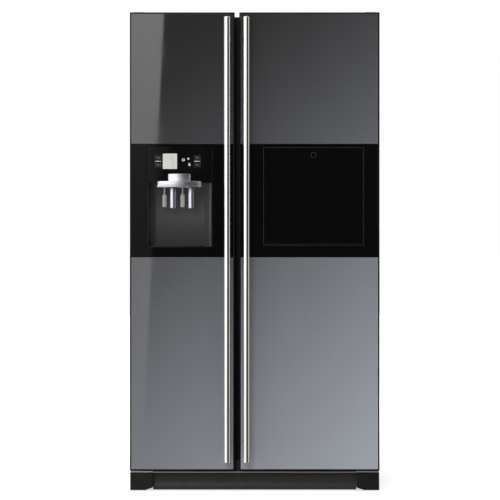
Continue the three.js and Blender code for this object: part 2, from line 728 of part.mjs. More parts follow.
function gasketSolid(roomX) {
  const y = [linerBack + seat, linerBack + seat + gasket.thickness];
  const inner = block(grow(roomX, gasket.offset), grow(y, past), grow(roomZ, gasket.offset));
  const out = gasket.offset + gasket.width;
  return cut(block(grow(roomX, out), y, grow(roomZ, out)), inner);
}

// A round bar handle on two posts.
function handleSolid() {
  const ends = [doorZ[0] + handle.lowEnd, doorZ[1] - handle.highEnd];
  const { radius, chamfer, stand } = handle;
  const bar = turned([
    [0, ends[0]],
    [radius - chamfer, ends[0]],
    [radius, ends[0] + chamfer],
    [radius, ends[1] - chamfer],
    [radius - chamfer, ends[1]],
    [0, ends[1]],
  ]);
  const posts = [ends[0] + post.inset, ends[1] - post.inset].map((height) =>
    rod(axisY, new THREE.Vector3(0, 0, height), post.radius, [0, stand - seat], pinSides),
  );
  return join(bar, ...posts);
}

// A bin that hangs between the dyke's walls. frontTop lowers its wall on the door's side.
function binSolid(roomX, height, frontTop) {
  const x = grow(roomX, -liner.dykeInset - liner.dykeWidth - slack);
  return openBox(x, [linerBack + seat, bin.reach], [0, height], bin.wall, frontTop);
}

const dispenserTop = dispenserZ[1] + seat + liner.thickness;
const binRoomTop = roomZ[1] - liner.dykeInset - liner.dykeWidth;
const upperBinFloor = dispenserTop + binUpperShare * (binRoomTop - dispenserTop - bin.height);

// Everything that both doors have. extras holds what the dispenser or the home bar changes.
function addDoor(group, name, place, roomX, extras) {
  const upper = [bandZ[1] + glass.seam / 2, doorZ[1] - door.border - glass.play];
  const lower = [doorZ[0] + door.border + glass.play, bandZ[0] - glass.seam / 2];
  const panel = cut(paneSolid(place, grow(bandZ, -glass.seam / 2)), extras.panelOpening);
  const handlePlace = [place.free + place.side * handle.inset, -handle.stand, 0];
  piece(group, `${name}_door`, slabSolid(place, ...extras.slabOpenings), blackTrim);
  piece(group, `${name}_door_liner`, extras.liner(doorLinerSolid(place, roomX)), whitePlastic);
  piece(group, `${name}_upper_glass`, paneSolid(place, upper), greyGlass);
  piece(group, `${name}_lower_glass`, paneSolid(place, lower), greyGlass);
  piece(group, extras.panelName, panel, blackGlass);
  piece(group, `${name}_gasket`, gasketSolid(roomX), greyRubber);
  piece(group, `${name}_handle`, handleSolid(), brushedSteel, handlePlace);
  const upperBin = [0, 0, upperBinFloor];
  const lowerBin = [0, 0, roomZ[0] + binLowerRise];
  piece(group, `${name}_bin_upper`, binSolid(roomX, bin.height), clearPlastic, upperBin);
  piece(group, `${name}_bin_lower`, binSolid(roomX, bin.height), clearPlastic, lowerBin);
}

// ------------------------------------------------------------------- dispenser

const buttonPlaces = [
  ["dispenser_button_upper_left", button.left, 1],
  ["dispenser_button_lower_left", button.left, -1],
  ["dispenser_button_upper_right", button.right, 1],
  ["dispenser_button_lower_right", button.right, -1],
].map(([name, x, up]) => [name, dispenserMiddle + x, dispenserZ[1] - display.drop + up * button.spread]);

const displayX = about(dispenserMiddle + display.x, display.width / 2);
const displayZ = about(dispenserZ[1] - display.drop, display.height / 2);

// The dispenser's housing: a control panel over a recess whose sides close in towards the rear.
function housingSolid() {
  const body = join(
    block(dispenserX, [-dispenser.proud, door.back], dispenserZ),
    block(dispenserRearX, [door.back - past, dispenserBack], dispenserZ),
  );
  const mouth = grow(dispenserX, -recess.side);
  const rear = grow(mouth, -recess.draft);
  const hollow = alongZ(
    outline([
      [mouth[0], -dispenser.proud - past],
      [mouth[1], -dispenser.proud - past],
      [rear[1], recessRear],
      [rear[0], recessRear],
    ]),
    recessZ,
  );
  const windowRear = display.thickness - display.proud - dispenser.proud + seat;
  const window = block(grow(displayX, seat), [-dispenser.proud - past, windowRear], grow(displayZ, seat));
  const wellRear = button.thickness + button.travelRoom - button.proud - dispenser.proud;
  const wells = buttonPlaces.map(([, x, z]) =>
    alongY(
      roundedRectangle(
        about(x, button.width / 2 + seat),
        about(z, button.height / 2 + seat),
        button.corner + seat,
      ),
      [-dispenser.proud - past, wellRear],
    ),
  );
  return cut(body, hollow, window, ...wells);
}

const hatBottom = recessZ[1] - hat.drop;

// The stepped cover over the spouts, hollow below.
function spoutCoverSolid() {
  const { radius, flare, brim, crown, crownHeight, squash, wall: thick, hollow, soft } = hat;
  const profile = turned([
    [0, 0],
    [radius, 0],
    [radius - flare, brim - soft],
    [radius - flare - soft, brim],
    [crown, brim],
    [crown, brim + crownHeight - soft],
    [crown - soft, brim + crownHeight],
    [0, brim + crownHeight],
  ], wideSides);
  const inside = turned([
    [0, -past],
    [radius - thick, -past],
    [radius - thick, hollow],
    [0, hollow],
  ], wideSides);
  const placed = cut(profile, inside)
    .scale([1, squash, 1])
    .translate([dispenserMiddle, hat.depth, hatBottom]);
  const panelBehind = block(
    grow(dispenserX, past),
    [-dispenser.proud - seat, dispenserBack],
    [recessZ[1] - seat, dispenserZ[1]],
  );
  return cut(placed, panelBehind);
}

// The plate in the cover's hollow, and the two spouts that hang from it.
function spoutBlockSolid() {
  const top = hatBottom + hat.hollow - seat;
  const plate = turned([
    [0, top - nozzle.plate],
    [hat.radius - hat.wall - slack, top - nozzle.plate],
    [hat.radius - hat.wall - slack, top],
    [0, top],
  ], wideSides)
    .scale([1, hat.squash, 1])
    .translate([dispenserMiddle, hat.depth, 0]);
  const tip = top - nozzle.length;
  const { stem, radius, shoulder, flare, tipRadius, taper } = nozzle;
  const spouts = nozzle.positions.map((x) =>
    turned([
      [0, tip],
      [tipRadius, tip],
      [radius, tip + taper],
      [radius, top - shoulder - flare],
      [stem, top - shoulder],
      [stem, top - nozzle.plate / 2],
      [0, top - nozzle.plate / 2],
    ], pinSides).translate([dispenserMiddle + x, nozzle.depth, 0]),
  );
  return join(plate, ...spouts);
}

// A push lever: a round bar that hangs by its neck from a pivot in the cover's hollow.
function leverSolid() {
  const { radius, length, edge, neckRadius, neck } = lever;
  return turned([
    [0, -length],
    [radius - edge, -length],
    [radius, -length + edge],
    [radius, -neck - edge],
    [radius - edge, -neck],
    [neckRadius, -neck],
    [neckRadius, 0],
    [0, 0],
  ]);
}

// The slotted tray that lies on the recess's floor.
function dripTraySolid() {
  const x = grow(dispenserX, -recess.side - dripTray.side);
  const y = [dripTray.front, dripTray.rear];
  const z = [recessZ[0] + seat, recessZ[0] + seat + dripTray.thickness];
  const pitch = (x[1] - x[0] - dripTray.rim) / dripTray.slots;
  const slots = [];
  for (let i = 0; i < dripTray.slots; i += 1) {
    const centre = x[0] + dripTray.rim / 2 + pitch * (i + 0.5);
    slots.push(block(about(centre, dripTray.slotWidth / 2), grow(y, -dripTray.rim), grow(z, past)));
  }
  return cut(block(x, y, z), ...slots);
}

function addDispenser() {
  piece(freezerDoorGroup, "dispenser_housing", housingSolid(), blackTrim);
  const face = -dispenser.proud - display.proud;
  const window = block(displayX, [face, face + display.thickness], displayZ);
  piece(freezerDoorGroup, "dispenser_display", window, paleDisplay);
  const key = alongY(
    roundedRectangle(about(0, button.width / 2), about(0, button.height / 2), button.corner),
    [0, button.thickness],
  );
  buttonPlaces.forEach(([name, x, z]) => {
    piece(freezerDoorGroup, name, key, blackTrim, [x, -dispenser.proud - button.proud, z]);
  });
  piece(freezerDoorGroup, "spout_cover", spoutCoverSolid(), brushedSteel);
  piece(freezerDoorGroup, "spout_block", spoutBlockSolid(), satinGrey);
  const leverTop = hatBottom + hat.hollow - seat - nozzle.plate - slack;
  ["ice_lever", "water_lever"].forEach((name, i) => {
    const place = [dispenserMiddle + lever.positions[i], lever.depth, leverTop];
    piece(freezerDoorGroup, name, leverSolid(), chrome, place);
  });
  piece(freezerDoorGroup, "drip_tray", dripTraySolid(), darkPlastic);
}

// The bulge of the freezer door's liner behind the dispenser.
function withDispenserBulge(sheet) {
  const thick = liner.thickness;
  const x = grow(dispenserRearX, seat + thick);
  const z = grow(dispenserZ, seat + thick);
  const bulge = block(x, [linerFace, dispenserBack + seat + thick], z);
  const inside = block(grow(x, -thick), [linerFace - past, dispenserBack + seat], grow(z, -thick));
  return cut(join(sheet, bulge), inside);
}

// -------------------------------------------------------------------- home bar

const latchX = about(middle(barX), barLatch.size / 2);
const latchZ = about(barZ[1] - barLatch.drop, barLatch.size / 2);

// The flap: it turns about the centre of its round lower edge, and carries an insulating pad.
function barDoorSolid() {
  const shape = new THREE.Shape();
  shape.moveTo(0, barZ[1]);
  shape.lineTo(0, barZ[0] + barKnuckle);
  shape.absarc(barKnuckle, barZ[0] + barKnuckle, barKnuckle, Math.PI, 2 * Math.PI);
  shape.lineTo(bar.thickness, barZ[1]);
  const pad = block(
    grow(barX, -barPad.side),
    [bar.thickness - past, bar.thickness + barPad.thickness],
    [barZ[0] + barPad.floor, barZ[1] - barPad.head],
  );
  const well = alongY(
    roundedRectangle(grow(latchX, barLatch.play), grow(latchZ, barLatch.play), barLatch.corner),
    [-past, barLatch.thickness + barLatch.travelRoom],
  );
  return cut(join(alongX(shape, barX), pad), well);
}

// The frame of the bar's mouth through the door, joined to the door's liner.
function withBarMouth(sheet) {
  const outer = block(barMouthX, [bar.thickness + barMouth.setback, linerBack], barMouthZ);
  const inner = block(
    grow(barMouthX, -barMouth.wall),
    [bar.thickness, linerBack + liner.dykeReach],
    grow(barMouthZ, -barMouth.wall),
  );
  return cut(join(sheet, outer), inner);
}

function addHomeBar() {
  piece(fridgeDoorGroup, "bar_door", barDoorSolid(), blackGlass);
  const key = alongY(roundedRectangle(latchX, latchZ, barLatch.corner), [0, barLatch.thickness]);
  piece(fridgeDoorGroup, "bar_latch", key, blackTrim);
  const floor = barMouthZ[0] - barBin.floorDrop;
  const shelfBin = binSolid(fridgeRoomX, barBin.height, bin.wall);
  piece(fridgeDoorGroup, "bar_bin", shelfBin, clearPlastic, [0, 0, floor]);
}

// -------------------------------------------------------------------- assembly

addCabinet();
addShelves();
addDrawers();
addFreezerFittings();
addMachineRoom();
addFeetAndRollers();
addPlinth();
addHinges();
const dispenserOpening = block(grow(dispenserX, slack), [-past, door.back + past], grow(dispenserZ, slack));
addDoor(freezerDoorGroup, "freezer", freezerDoor, freezerRoomX, {
  slabOpenings: [dispenserOpening],
  panelName: "dispenser_panel",
  panelOpening: dispenserOpening,
  liner: withDispenserBulge,
});
addDispenser();
addDoor(fridgeDoorGroup, "fridge", fridgeDoor, fridgeRoomX, {
  slabOpenings: [
    block(grow(barX, bar.play), [-past, bar.thickness + 2 * slack], grow(barZ, bar.play)),
    block(grow(barMouthX, seat), [0, door.back + past], grow(barMouthZ, seat)),
  ],
  panelName: "bar_panel",
  panelOpening: block(grow(barX, bar.play), [-past, glass.thickness + past], grow(barZ, bar.play)),
  liner: withBarMouth,
});
addHomeBar();

const frontmost = -handle.stand - handle.radius;
refrigerator.position.y = -middle([frontmost, cabinetBack]);

export default refrigerator;
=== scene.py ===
import math

import bmesh
import bpy
from bpy.props import FloatProperty, FloatVectorProperty, PointerProperty
from mathutils import Matrix, Vector


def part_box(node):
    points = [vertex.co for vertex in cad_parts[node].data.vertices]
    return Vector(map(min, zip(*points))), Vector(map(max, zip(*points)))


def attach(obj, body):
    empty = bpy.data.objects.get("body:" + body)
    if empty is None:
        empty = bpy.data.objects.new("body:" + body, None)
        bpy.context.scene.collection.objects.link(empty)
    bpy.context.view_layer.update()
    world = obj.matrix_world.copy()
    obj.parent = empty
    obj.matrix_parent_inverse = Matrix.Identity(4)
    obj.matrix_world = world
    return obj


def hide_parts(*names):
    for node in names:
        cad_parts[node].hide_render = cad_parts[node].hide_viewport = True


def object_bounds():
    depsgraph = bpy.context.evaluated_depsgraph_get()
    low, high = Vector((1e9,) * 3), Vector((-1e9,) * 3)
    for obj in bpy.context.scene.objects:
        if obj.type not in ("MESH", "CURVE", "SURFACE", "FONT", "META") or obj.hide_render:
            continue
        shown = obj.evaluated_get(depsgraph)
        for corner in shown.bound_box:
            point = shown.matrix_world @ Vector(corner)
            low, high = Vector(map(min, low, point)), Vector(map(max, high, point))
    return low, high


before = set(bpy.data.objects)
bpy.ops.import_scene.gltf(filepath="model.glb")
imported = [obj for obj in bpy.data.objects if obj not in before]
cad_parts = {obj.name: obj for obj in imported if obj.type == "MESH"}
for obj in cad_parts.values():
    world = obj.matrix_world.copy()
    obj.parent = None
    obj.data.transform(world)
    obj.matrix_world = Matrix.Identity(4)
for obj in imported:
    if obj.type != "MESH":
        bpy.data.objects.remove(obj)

bl_info = {
    "name": "Side by Side Refrigerator",
    "version": (1, 0, 0),
    "blender": (4, 5, 0),
    "location": "3D View > Sidebar > Refrigerator",
    "description": "Builds the finishes and the fine pieces of a side by side refrigerator around its frame",
    "category": "Object",
}

CAD_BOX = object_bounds()
MM = 0.001


# ---------------------------------------------------------------------------- settings


def colour(name, description, value):
    return FloatVectorProperty(
        name=name, description=description, default=value, subtype="COLOR", min=0.0, max=1.0
    )


def length(name, description, value):
    return FloatProperty(name=name, description=description, default=value, unit="LENGTH", min=0.0)


class FinishSettings(bpy.types.PropertyGroup):
    """Colours of the finishes."""

    pane_dark: colour("Pane, dark end", "Door glass at its upper left", (0.0093, 0.0079, 0.0077))
    pane_light: colour("Pane, light end", "Door glass at its lower right", (0.378, 0.401, 0.444))
    band_black: colour("Band", "Black glass of the band across both doors", (0.0014, 0.0014, 0.0015))
    border_black: colour("Border", "Frame round the door glass", (0.0022, 0.0022, 0.0023))
    trim_black: colour("Trim", "Black moulded trim", (0.0050, 0.0050, 0.0050))
    recess_grey: colour("Recess", "Lining of the dispenser's recess", (0.018, 0.018, 0.0185))
    plinth_grey: colour("Plinth", "Moulded plinth", (0.0110, 0.0110, 0.0090))
    cabinet_grey: colour("Cabinet", "Painted steel of the cabinet", (0.060, 0.062, 0.066))
    liner_white: colour("Liner", "White lining of the rooms", (0.79, 0.81, 0.82))
    silver: colour("Silver", "Brushed metal of the handles and the spout hood", (0.80, 0.785, 0.75))
    chrome: colour("Chrome", "Satin chrome of the levers", (0.60, 0.59, 0.68))
    display: colour("Display", "Pale window of the display", (0.45, 0.465, 0.43))
    zinc: colour("Zinc", "Zinc-plated hinges and rear cover", (0.58, 0.58, 0.57))


class DetailSettings(bpy.types.PropertyGroup):
    """Sizes of the fine pieces."""

    edge: length("Edge radius", "Rounding of moulded and sheet edges", 1.0 * MM)
    glass_edge: length("Glass edge", "Ground edge of a pane", 0.6 * MM)
    handle_end: length("Handle end radius", "Rounding at a handle's ends", 3.0 * MM)
    screw_head: length("Screw head", "Diameter of a screw's head", 8.0 * MM)
    lining: length("Lining", "Thickness of the recess's lining", 0.6 * MM)
    shelf_trim: length("Shelf trim", "Height of the trim on a shelf's front edge", 15.0 * MM)
    bin_trim: length("Bin trim", "Height of the strip along a bin's rim", 9.0 * MM)
    pipe: length("Pipe", "Outer diameter of the refrigerant pipes", 6.4 * MM)


class StageSettings(bpy.types.PropertyGroup):
    """The floor, the lights and the camera."""

    distance: length("Camera distance", "From the camera to the door fronts", 6.0)
    eye: length("Camera height", "Height of the camera over the floor", 0.882)
    aside: FloatProperty(name="Camera aside", description="To the left of the middle", default=0.0172, unit="LENGTH")
    lens: FloatProperty(name="Lens", description="Focal length on a 36 mm sensor", default=118.3, unit="CAMERA")
    floor: length("Floor radius", "Radius of the round floor", 16.0)
    key: FloatProperty(name="Key light", description="Power of the left light", default=112.0, unit="POWER")
    fill: FloatProperty(name="Fill light", description="Power of the large right light", default=10.0, unit="POWER")
    top: FloatProperty(name="Top light", description="Power of the overhead light", default=40.0, unit="POWER")
    rear: FloatProperty(name="Rear light", description="Power of the light behind", default=40.0, unit="POWER")
    sky: FloatProperty(name="Sky", description="Strength of the soft surrounding light", default=0.36, min=0.0)


def finish_of():
    return bpy.context.scene.fridge_finish


def detail_of():
    return bpy.context.scene.fridge_detail


# ------------------------------------------------------------------------ node helpers


def node(tree, kind, inputs=None, **options):
    """Adds a node. inputs gives values or sockets by name or number, and options its own settings."""
    made = tree.nodes.new(kind)
    for key, value in options.items():
        setattr(made, key, value)
    for key, value in (inputs or {}).items():
        if isinstance(value, bpy.types.NodeSocket):
            tree.links.new(value, made.inputs[key])
        else:
            made.inputs[key].default_value = value
    return made


def maths(tree, operation, *values, clamp=False):
    made = node(tree, "ShaderNodeMath", dict(enumerate(values)), operation=operation, use_clamp=clamp)
    return made.outputs[0]


def remap(tree, value, low, high, to_low=0.0, to_high=1.0):
    inputs = {"Value": value, "From Min": low, "From Max": high, "To Min": to_low, "To Max": to_high}
    return node(tree, "ShaderNodeMapRange", inputs, clamp=True).outputs["Result"]


def mixed(tree, factor, first, second):
    """A colour between two others."""
    made = tree.nodes.new("ShaderNodeMix")
    made.data_type = "RGBA"
    for socket, value in ((made.inputs["Factor"], factor), (made.inputs[6], first), (made.inputs[7], second)):
        if isinstance(value, bpy.types.NodeSocket):
            tree.links.new(value, socket)
        elif isinstance(value, float):
            socket.default_value = value
        else:
            socket.default_value = (*value[:3], 1.0)
    return made.outputs[2]


def scaled(tree, vector, factors):
    made = node(tree, "ShaderNodeVectorMath", {0: vector, 1: factors}, operation="MULTIPLY")
    return made.outputs[0]


def new_group(name, inputs, outputs):
    """A shader node group with float inputs, given with their defaults, and outputs by kind."""
    tree = bpy.data.node_groups.new(name, "ShaderNodeTree")
    for label, value in inputs.items():
        socket = tree.interface.new_socket(label, in_out="INPUT", socket_type="NodeSocketFloat")
        socket.default_value = value
    for label, kind in outputs.items():
        tree.interface.new_socket(label, in_out="OUTPUT", socket_type=kind)
    return tree, tree.nodes.new("NodeGroupInput"), tree.nodes.new("NodeGroupOutput")


FLOAT = "NodeSocketFloat"


def grain_group():
    """Fine moulded or painted grain, as a height and as a slow mottling."""
    tree, given, result = new_group("fine_grain", {"Scale": 900.0, "Mottle": 9.0}, {"Height": FLOAT, "Mottle": FLOAT})
    place = node(tree, "ShaderNodeTexCoord").outputs["Object"]
    inputs = {"Vector": place, "Scale": given.outputs["Scale"], "Detail": 3.0}
    fine = node(tree, "ShaderNodeTexNoise", inputs)
    inputs = {"Vector": place, "Scale": given.outputs["Mottle"], "Detail": 4.0}
    slow = node(tree, "ShaderNodeTexNoise", inputs)
    tree.links.new(fine.outputs[0], result.inputs["Height"])
    tree.links.new(slow.outputs[0], result.inputs["Mottle"])
    return tree


def brushed_group():
    """Brush lines along one axis: the three scales stretch them."""
    inputs = {"Across X": 900.0, "Across Y": 900.0, "Along Z": 6.0}
    tree, given, result = new_group("brush_lines", inputs, {"Height": FLOAT, "Streak": FLOAT})
    place = node(tree, "ShaderNodeTexCoord").outputs["Object"]
    parts = {i: given.outputs[i] for i in range(3)}
    stretch = node(tree, "ShaderNodeCombineXYZ", parts).outputs[0]
    lines = node(tree, "ShaderNodeTexNoise", {"Vector": scaled(tree, place, stretch), "Scale": 1.0, "Detail": 2.0})
    tree.links.new(lines.outputs[0], result.inputs["Height"])
    tree.links.new(remap(tree, lines.outputs[0], 0.35, 0.65), result.inputs["Streak"])
    return tree


def wear_group():
    """A mask that is 1 on rubbed outer edges."""
    tree, given, result = new_group("edge_wear", {"Amount": 0.5, "Scale": 60.0}, {"Mask": FLOAT})
    sharp = node(tree, "ShaderNodeNewGeometry").outputs["Pointiness"]
    place = node(tree, "ShaderNodeTexCoord").outputs["Object"]
    patches = node(tree, "ShaderNodeTexNoise", {"Vector": place, "Scale": given.outputs["Scale"], "Detail": 5.0})
    edge = remap(tree, sharp, 0.52, 0.62)
    spread = remap(tree, patches.outputs[0], 0.40, 0.62)
    mask = maths(tree, "MULTIPLY", maths(tree, "MULTIPLY", edge, spread), given.outputs["Amount"], clamp=True)
    tree.links.new(mask, result.inputs["Mask"])
    return tree


def dust_group():
    """A mask of dust that settles on what faces up."""
    tree, given, result = new_group("settled_dust", {"Amount": 0.3, "Scale": 40.0}, {"Mask": FLOAT})
    facing = node(tree, "ShaderNodeNewGeometry").outputs["Normal"]
    up = node(tree, "ShaderNodeSeparateXYZ", {0: facing}).outputs["Z"]
    place = node(tree, "ShaderNodeTexCoord").outputs["Object"]
    specks = node(tree, "ShaderNodeTexNoise", {"Vector": place, "Scale": given.outputs["Scale"], "Detail": 6.0})
    lying = maths(tree, "MULTIPLY", remap(tree, up, 0.5, 1.0), remap(tree, specks.outputs[0], 0.1, 0.9))
    mask = maths(tree, "MULTIPLY", lying, given.outputs["Amount"], clamp=True)
    tree.links.new(mask, result.inputs["Mask"])
    return tree


def smudge_group():
    """Wipe marks and finger marks, as a mask."""
    tree, given, result = new_group("wipe_marks", {"Scale": 5.0, "Amount": 1.0}, {"Mask": FLOAT})
    place = node(tree, "ShaderNodeTexCoord").outputs["Object"]
    wide = node(
        tree,
        "ShaderNodeTexNoise",
        {"Vector": place, "Scale": given.outputs["Scale"], "Detail": 5.0, "Distortion": 1.2},
    )
    mask = maths(tree, "MULTIPLY", remap(tree, wide.outputs[0], 0.45, 0.75), given.outputs["Amount"], clamp=True)
    tree.links.new(mask, result.inputs["Mask"])
    return tree


# The door glass is graded from dark at upper left to light at lower right: partly the glass's own tint, partly a
# painted reflection.
TINT_SLANT = 0.81  # metres down the glass that look like one metre across it
TINT_START = (-0.421, 1.745)
TINT_RUN = 2.54
TINT_CURVE = 1.95


def tint_and_painted_reflection_group():
    """How far a point of the door glass is along its slanting grade, from 0 to 1: partly its own graded tint, partly a
    painted reflection.
    """
    tree, given, result = new_group("graded_tint_and_painted_reflection", {"Run": TINT_RUN}, {"Share": FLOAT})
    place = node(tree, "ShaderNodeTexCoord").outputs["Object"]
    parts = node(tree, "ShaderNodeSeparateXYZ", {0: place})
    across = maths(tree, "MULTIPLY_ADD", parts.outputs["X"], TINT_SLANT, -TINT_START[0] * TINT_SLANT)
    down = maths(tree, "SUBTRACT", TINT_START[1], parts.outputs["Z"])
    share = maths(tree, "DIVIDE", maths(tree, "ADD", across, down), given.outputs["Run"], clamp=True)
    tree.links.new(maths(tree, "POWER", share, TINT_CURVE), result.inputs["Share"])
    return tree


GROUP_MAKERS = {
    "grain": grain_group,
    "brushed": brushed_group,
    "wear": wear_group,
    "dust": dust_group,
    "smudge": smudge_group,
    "tint": tint_and_painted_reflection_group,
}
GROUPS = {}
MATERIALS = {}


def effect(tree, name, **values):
    """Places one of the shared groups, with underscores in place of the spaces of its inputs."""
    if name not in GROUPS:
        GROUPS[name] = GROUP_MAKERS[name]()
    made = tree.nodes.new("ShaderNodeGroup")
    made.node_tree = GROUPS[name]
    for key, value in values.items():
        made.inputs[key.replace("_", " ")].default_value = value
    return made.outputs


def bump(tree, height, strength, distance=0.0002):
    inputs = {"Height": height, "Strength": strength, "Distance": distance}
    return node(tree, "ShaderNodeBump", inputs).outputs["Normal"]


def finish(name, maker):
    """The material of that name, made when it is first asked for."""
    if name not in MATERIALS:
        material = bpy.data.materials.new(name)
        material.use_nodes = True
        tree = material.node_tree
        shader = tree.nodes["Principled BSDF"]
        maker(tree, shader.inputs)
        MATERIALS[name] = material
    return MATERIALS[name]


# --------------------------------------------------------------------------- materials


def grey_glass():
    """Door glass: a slanting grade from dark to light grey, partly its own graded tint and partly a painted
    reflection, behind a mirror-like face with faint wipe marks.
    """

    def make(tree, to):
        share = effect(tree, "tint")["Share"]
        marks = effect(tree, "smudge", Scale=3.0, Amount=0.6)["Mask"]
        # Base colour graded along the slant: partly tint, partly painted reflection.
        tree.links.new(mixed(tree, share, finish_of().pane_dark, finish_of().pane_light), to["Base Color"])
        tree.links.new(remap(tree, marks, 0.0, 1.0, 0.015, 0.05), to["Roughness"])
        to["IOR"].default_value = 2.62

    return finish("grey_glass", make)


def black_glass():
    """Black glass of the band and of the flap."""

    def make(tree, to):
        marks = effect(tree, "smudge", Scale=4.0, Amount=0.8)["Mask"]
        black = finish_of().band_black
        tree.links.new(mixed(tree, marks, black, [1.35 * c for c in black]), to["Base Color"])
        tree.links.new(remap(tree, marks, 0.0, 1.0, 0.02, 0.07), to["Roughness"])
        to["IOR"].default_value = 1.34

    return finish("black_glass", make)


def moulded(name, tint, roughness, grain=0.25, wear=0.3, dust=0.0, scale=1400.0, gloss=1.5, painted_glow=0.0, shade=None):
    """A moulded plastic or painted face: grain, mottled gloss, rubbed edges and dust.

    shade gives the two places in x over which a painted shade on the left side fades out, in the base colour and in
    the emission. A glow, if given, is painted light: a faint even emission.
    """

    def make(tree, to):
        texture = effect(tree, "grain", Scale=scale, Mottle=14.0)
        rubbed = effect(tree, "wear", Amount=wear)["Mask"]
        base = mixed(tree, rubbed, tint, [min(1.0, 1.6 * c + 0.02) for c in tint])
        if dust:
            lying = effect(tree, "dust", Amount=dust)["Mask"]
            base = mixed(tree, lying, base, (0.42, 0.41, 0.39))
        # Painted shade: darker towards the left side, in the colour and in the emission.
        if shade:
            place = node(tree, "ShaderNodeTexCoord").outputs["Object"]
            x = node(tree, "ShaderNodeSeparateXYZ", {0: place}).outputs["X"]
            light = remap(tree, x, *shade)
            base = mixed(tree, light, finish_of().trim_black, base)
            tree.links.new(mixed(tree, light, (0.0, 0.0, 0.0), (1.0, 1.0, 1.0)), to["Emission Color"])
        tree.links.new(base, to["Base Color"])
        rough = remap(tree, texture["Mottle"], 0.3, 0.7, max(0.02, roughness - 0.05), roughness + 0.05)
        tree.links.new(rough, to["Roughness"])
        tree.links.new(bump(tree, texture["Height"], grain, 0.0001), to["Normal"])
        to["IOR"].default_value = gloss
        # Painted light: a faint emission that evens out the shading.
        if painted_glow:
            to["Emission Strength"].default_value = painted_glow

    return finish(name, make)


def brushed(name, tint, roughness, lines, shade=0.94):
    """Brushed metal. lines gives how often brush marks cross x, y and z, and shade how dark they are."""

    def make(tree, to):
        marks = effect(tree, "brushed", Across_X=lines[0], Across_Y=lines[1], Along_Z=lines[2])
        rubbed = effect(tree, "wear", Amount=0.4)["Mask"]
        worn = mixed(tree, rubbed, tint, [min(1.0, 1.15 * c) for c in tint])
        base = mixed(tree, marks["Streak"], [shade * c for c in tint], worn)
        tree.links.new(base, to["Base Color"])
        tree.links.new(remap(tree, marks["Streak"], 0.0, 1.0, roughness - 0.04, roughness + 0.04), to["Roughness"])
        tree.links.new(bump(tree, marks["Height"], 0.06, 0.00005), to["Normal"])
        to["Metallic"].default_value = 1.0

    return finish(name, make)


def clear(name, tint, roughness, thin=1.45):
    """Clear moulded plastic or shelf glass."""

    def make(tree, to):
        marks = effect(tree, "smudge", Scale=9.0, Amount=1.0)["Mask"]
        texture = effect(tree, "grain", Scale=500.0)
        tree.links.new(mixed(tree, marks, tint, [0.96 * c for c in tint]), to["Base Color"])
        tree.links.new(remap(tree, marks, 0.0, 1.0, roughness, roughness + 0.06), to["Roughness"])
        tree.links.new(bump(tree, texture["Height"], 0.05, 0.00005), to["Normal"])
        to["Transmission Weight"].default_value = 0.92
        to["IOR"].default_value = thin

    return finish(name, make)


def glowing(name, tint, strength):
    """A lamp's lens, faintly lit."""

    def make(tree, to):
        texture = effect(tree, "grain", Scale=300.0, Mottle=60.0)
        lit = mixed(tree, texture["Mottle"], tint, [0.93 * c for c in tint])
        tree.links.new(lit, to["Base Color"])
        tree.links.new(lit, to["Emission Color"])
        tree.links.new(bump(tree, texture["Height"], 0.3), to["Normal"])
        to["Emission Strength"].default_value = strength
        to["Roughness"].default_value = 0.35

    return finish(name, make)


def cabinet_paint():
    return moulded("cabinet_paint", finish_of().cabinet_grey, 0.38, grain=0.4, dust=0.1, scale=700.0)


def door_border():
    return moulded("door_border", finish_of().border_black, 0.2, grain=0.05, wear=0.03, gloss=1.42)


def black_trim():
    return moulded("black_trim", finish_of().trim_black, 0.34, grain=0.3, dust=0.05, gloss=1.34)


def dispenser_black():
    return moulded("dispenser_black", finish_of().band_black, 0.06, grain=0.02, wear=0.05, gloss=1.42)


def plinth_plastic():
    return moulded("plinth_plastic", finish_of().plinth_grey, 0.36, grain=0.35, dust=0.12)


def liner_white():
    return moulded("liner_white", finish_of().liner_white, 0.46, grain=0.03, wear=0.0, scale=120.0, gloss=1.4)


def recess_grey(shade):
    # The recess lining: a faint glow of painted light, and painted shade towards its left wall.
    return moulded("recess_grey", finish_of().recess_grey, 0.5, grain=0.2, wear=0.0, painted_glow=0.024, gloss=1.35, shade=shade)


# A dark grey for the backs of the air outlets: painted shade in their openings.
def outlet_painted_shade():
    return moulded("outlet_painted_shade", (0.036, 0.036, 0.037), 0.45, grain=0.2, wear=0.0)


def gasket_rubber():
    return moulded("gasket_rubber", (0.14, 0.145, 0.15), 0.62, grain=0.5, wear=0.0)


def satin_grey():
    return moulded("satin_grey", (0.22, 0.225, 0.225), 0.32, grain=0.1, wear=0.3)


def button_black():
    return moulded("button_black", (0.006, 0.006, 0.006), 0.16, grain=0.06, wear=0.5)


def display_window():
    return moulded("display_window", finish_of().display, 0.12, grain=0.02, wear=0.0)


def zinc_steel():
    return brushed("zinc_steel", finish_of().zinc, 0.36, (40.0, 400.0, 400.0))


def brushed_silver():
    return brushed("brushed_silver", finish_of().silver, 0.14, (700.0, 700.0, 5.0))


def hood_silver():
    return brushed("hood_silver", (0.72, 0.71, 0.74), 0.36, (14.0, 14.0, 600.0), 0.72)


def lever_chrome():
    return brushed("lever_chrome", finish_of().chrome, 0.36, (500.0, 500.0, 4.0))


# A lighter metal for the recess's right edge: a painted highlight.
def painted_highlight_trim():
    return brushed("painted_highlight_trim", (0.16, 0.16, 0.165), 0.34, (300.0, 300.0, 300.0))


# A lighter grey for the plinth's top edge: a painted highlight.
def painted_highlight_grey():
    return moulded("painted_highlight_grey", (0.13, 0.13, 0.12), 0.4, grain=0.1, wear=0.0)


def edge_dark():
    return moulded("edge_dark", (0.022, 0.022, 0.022), 0.3, grain=0.1, wear=0.0)


def clear_plastic():
    return clear("clear_plastic", (0.90, 0.95, 0.965), 0.06)


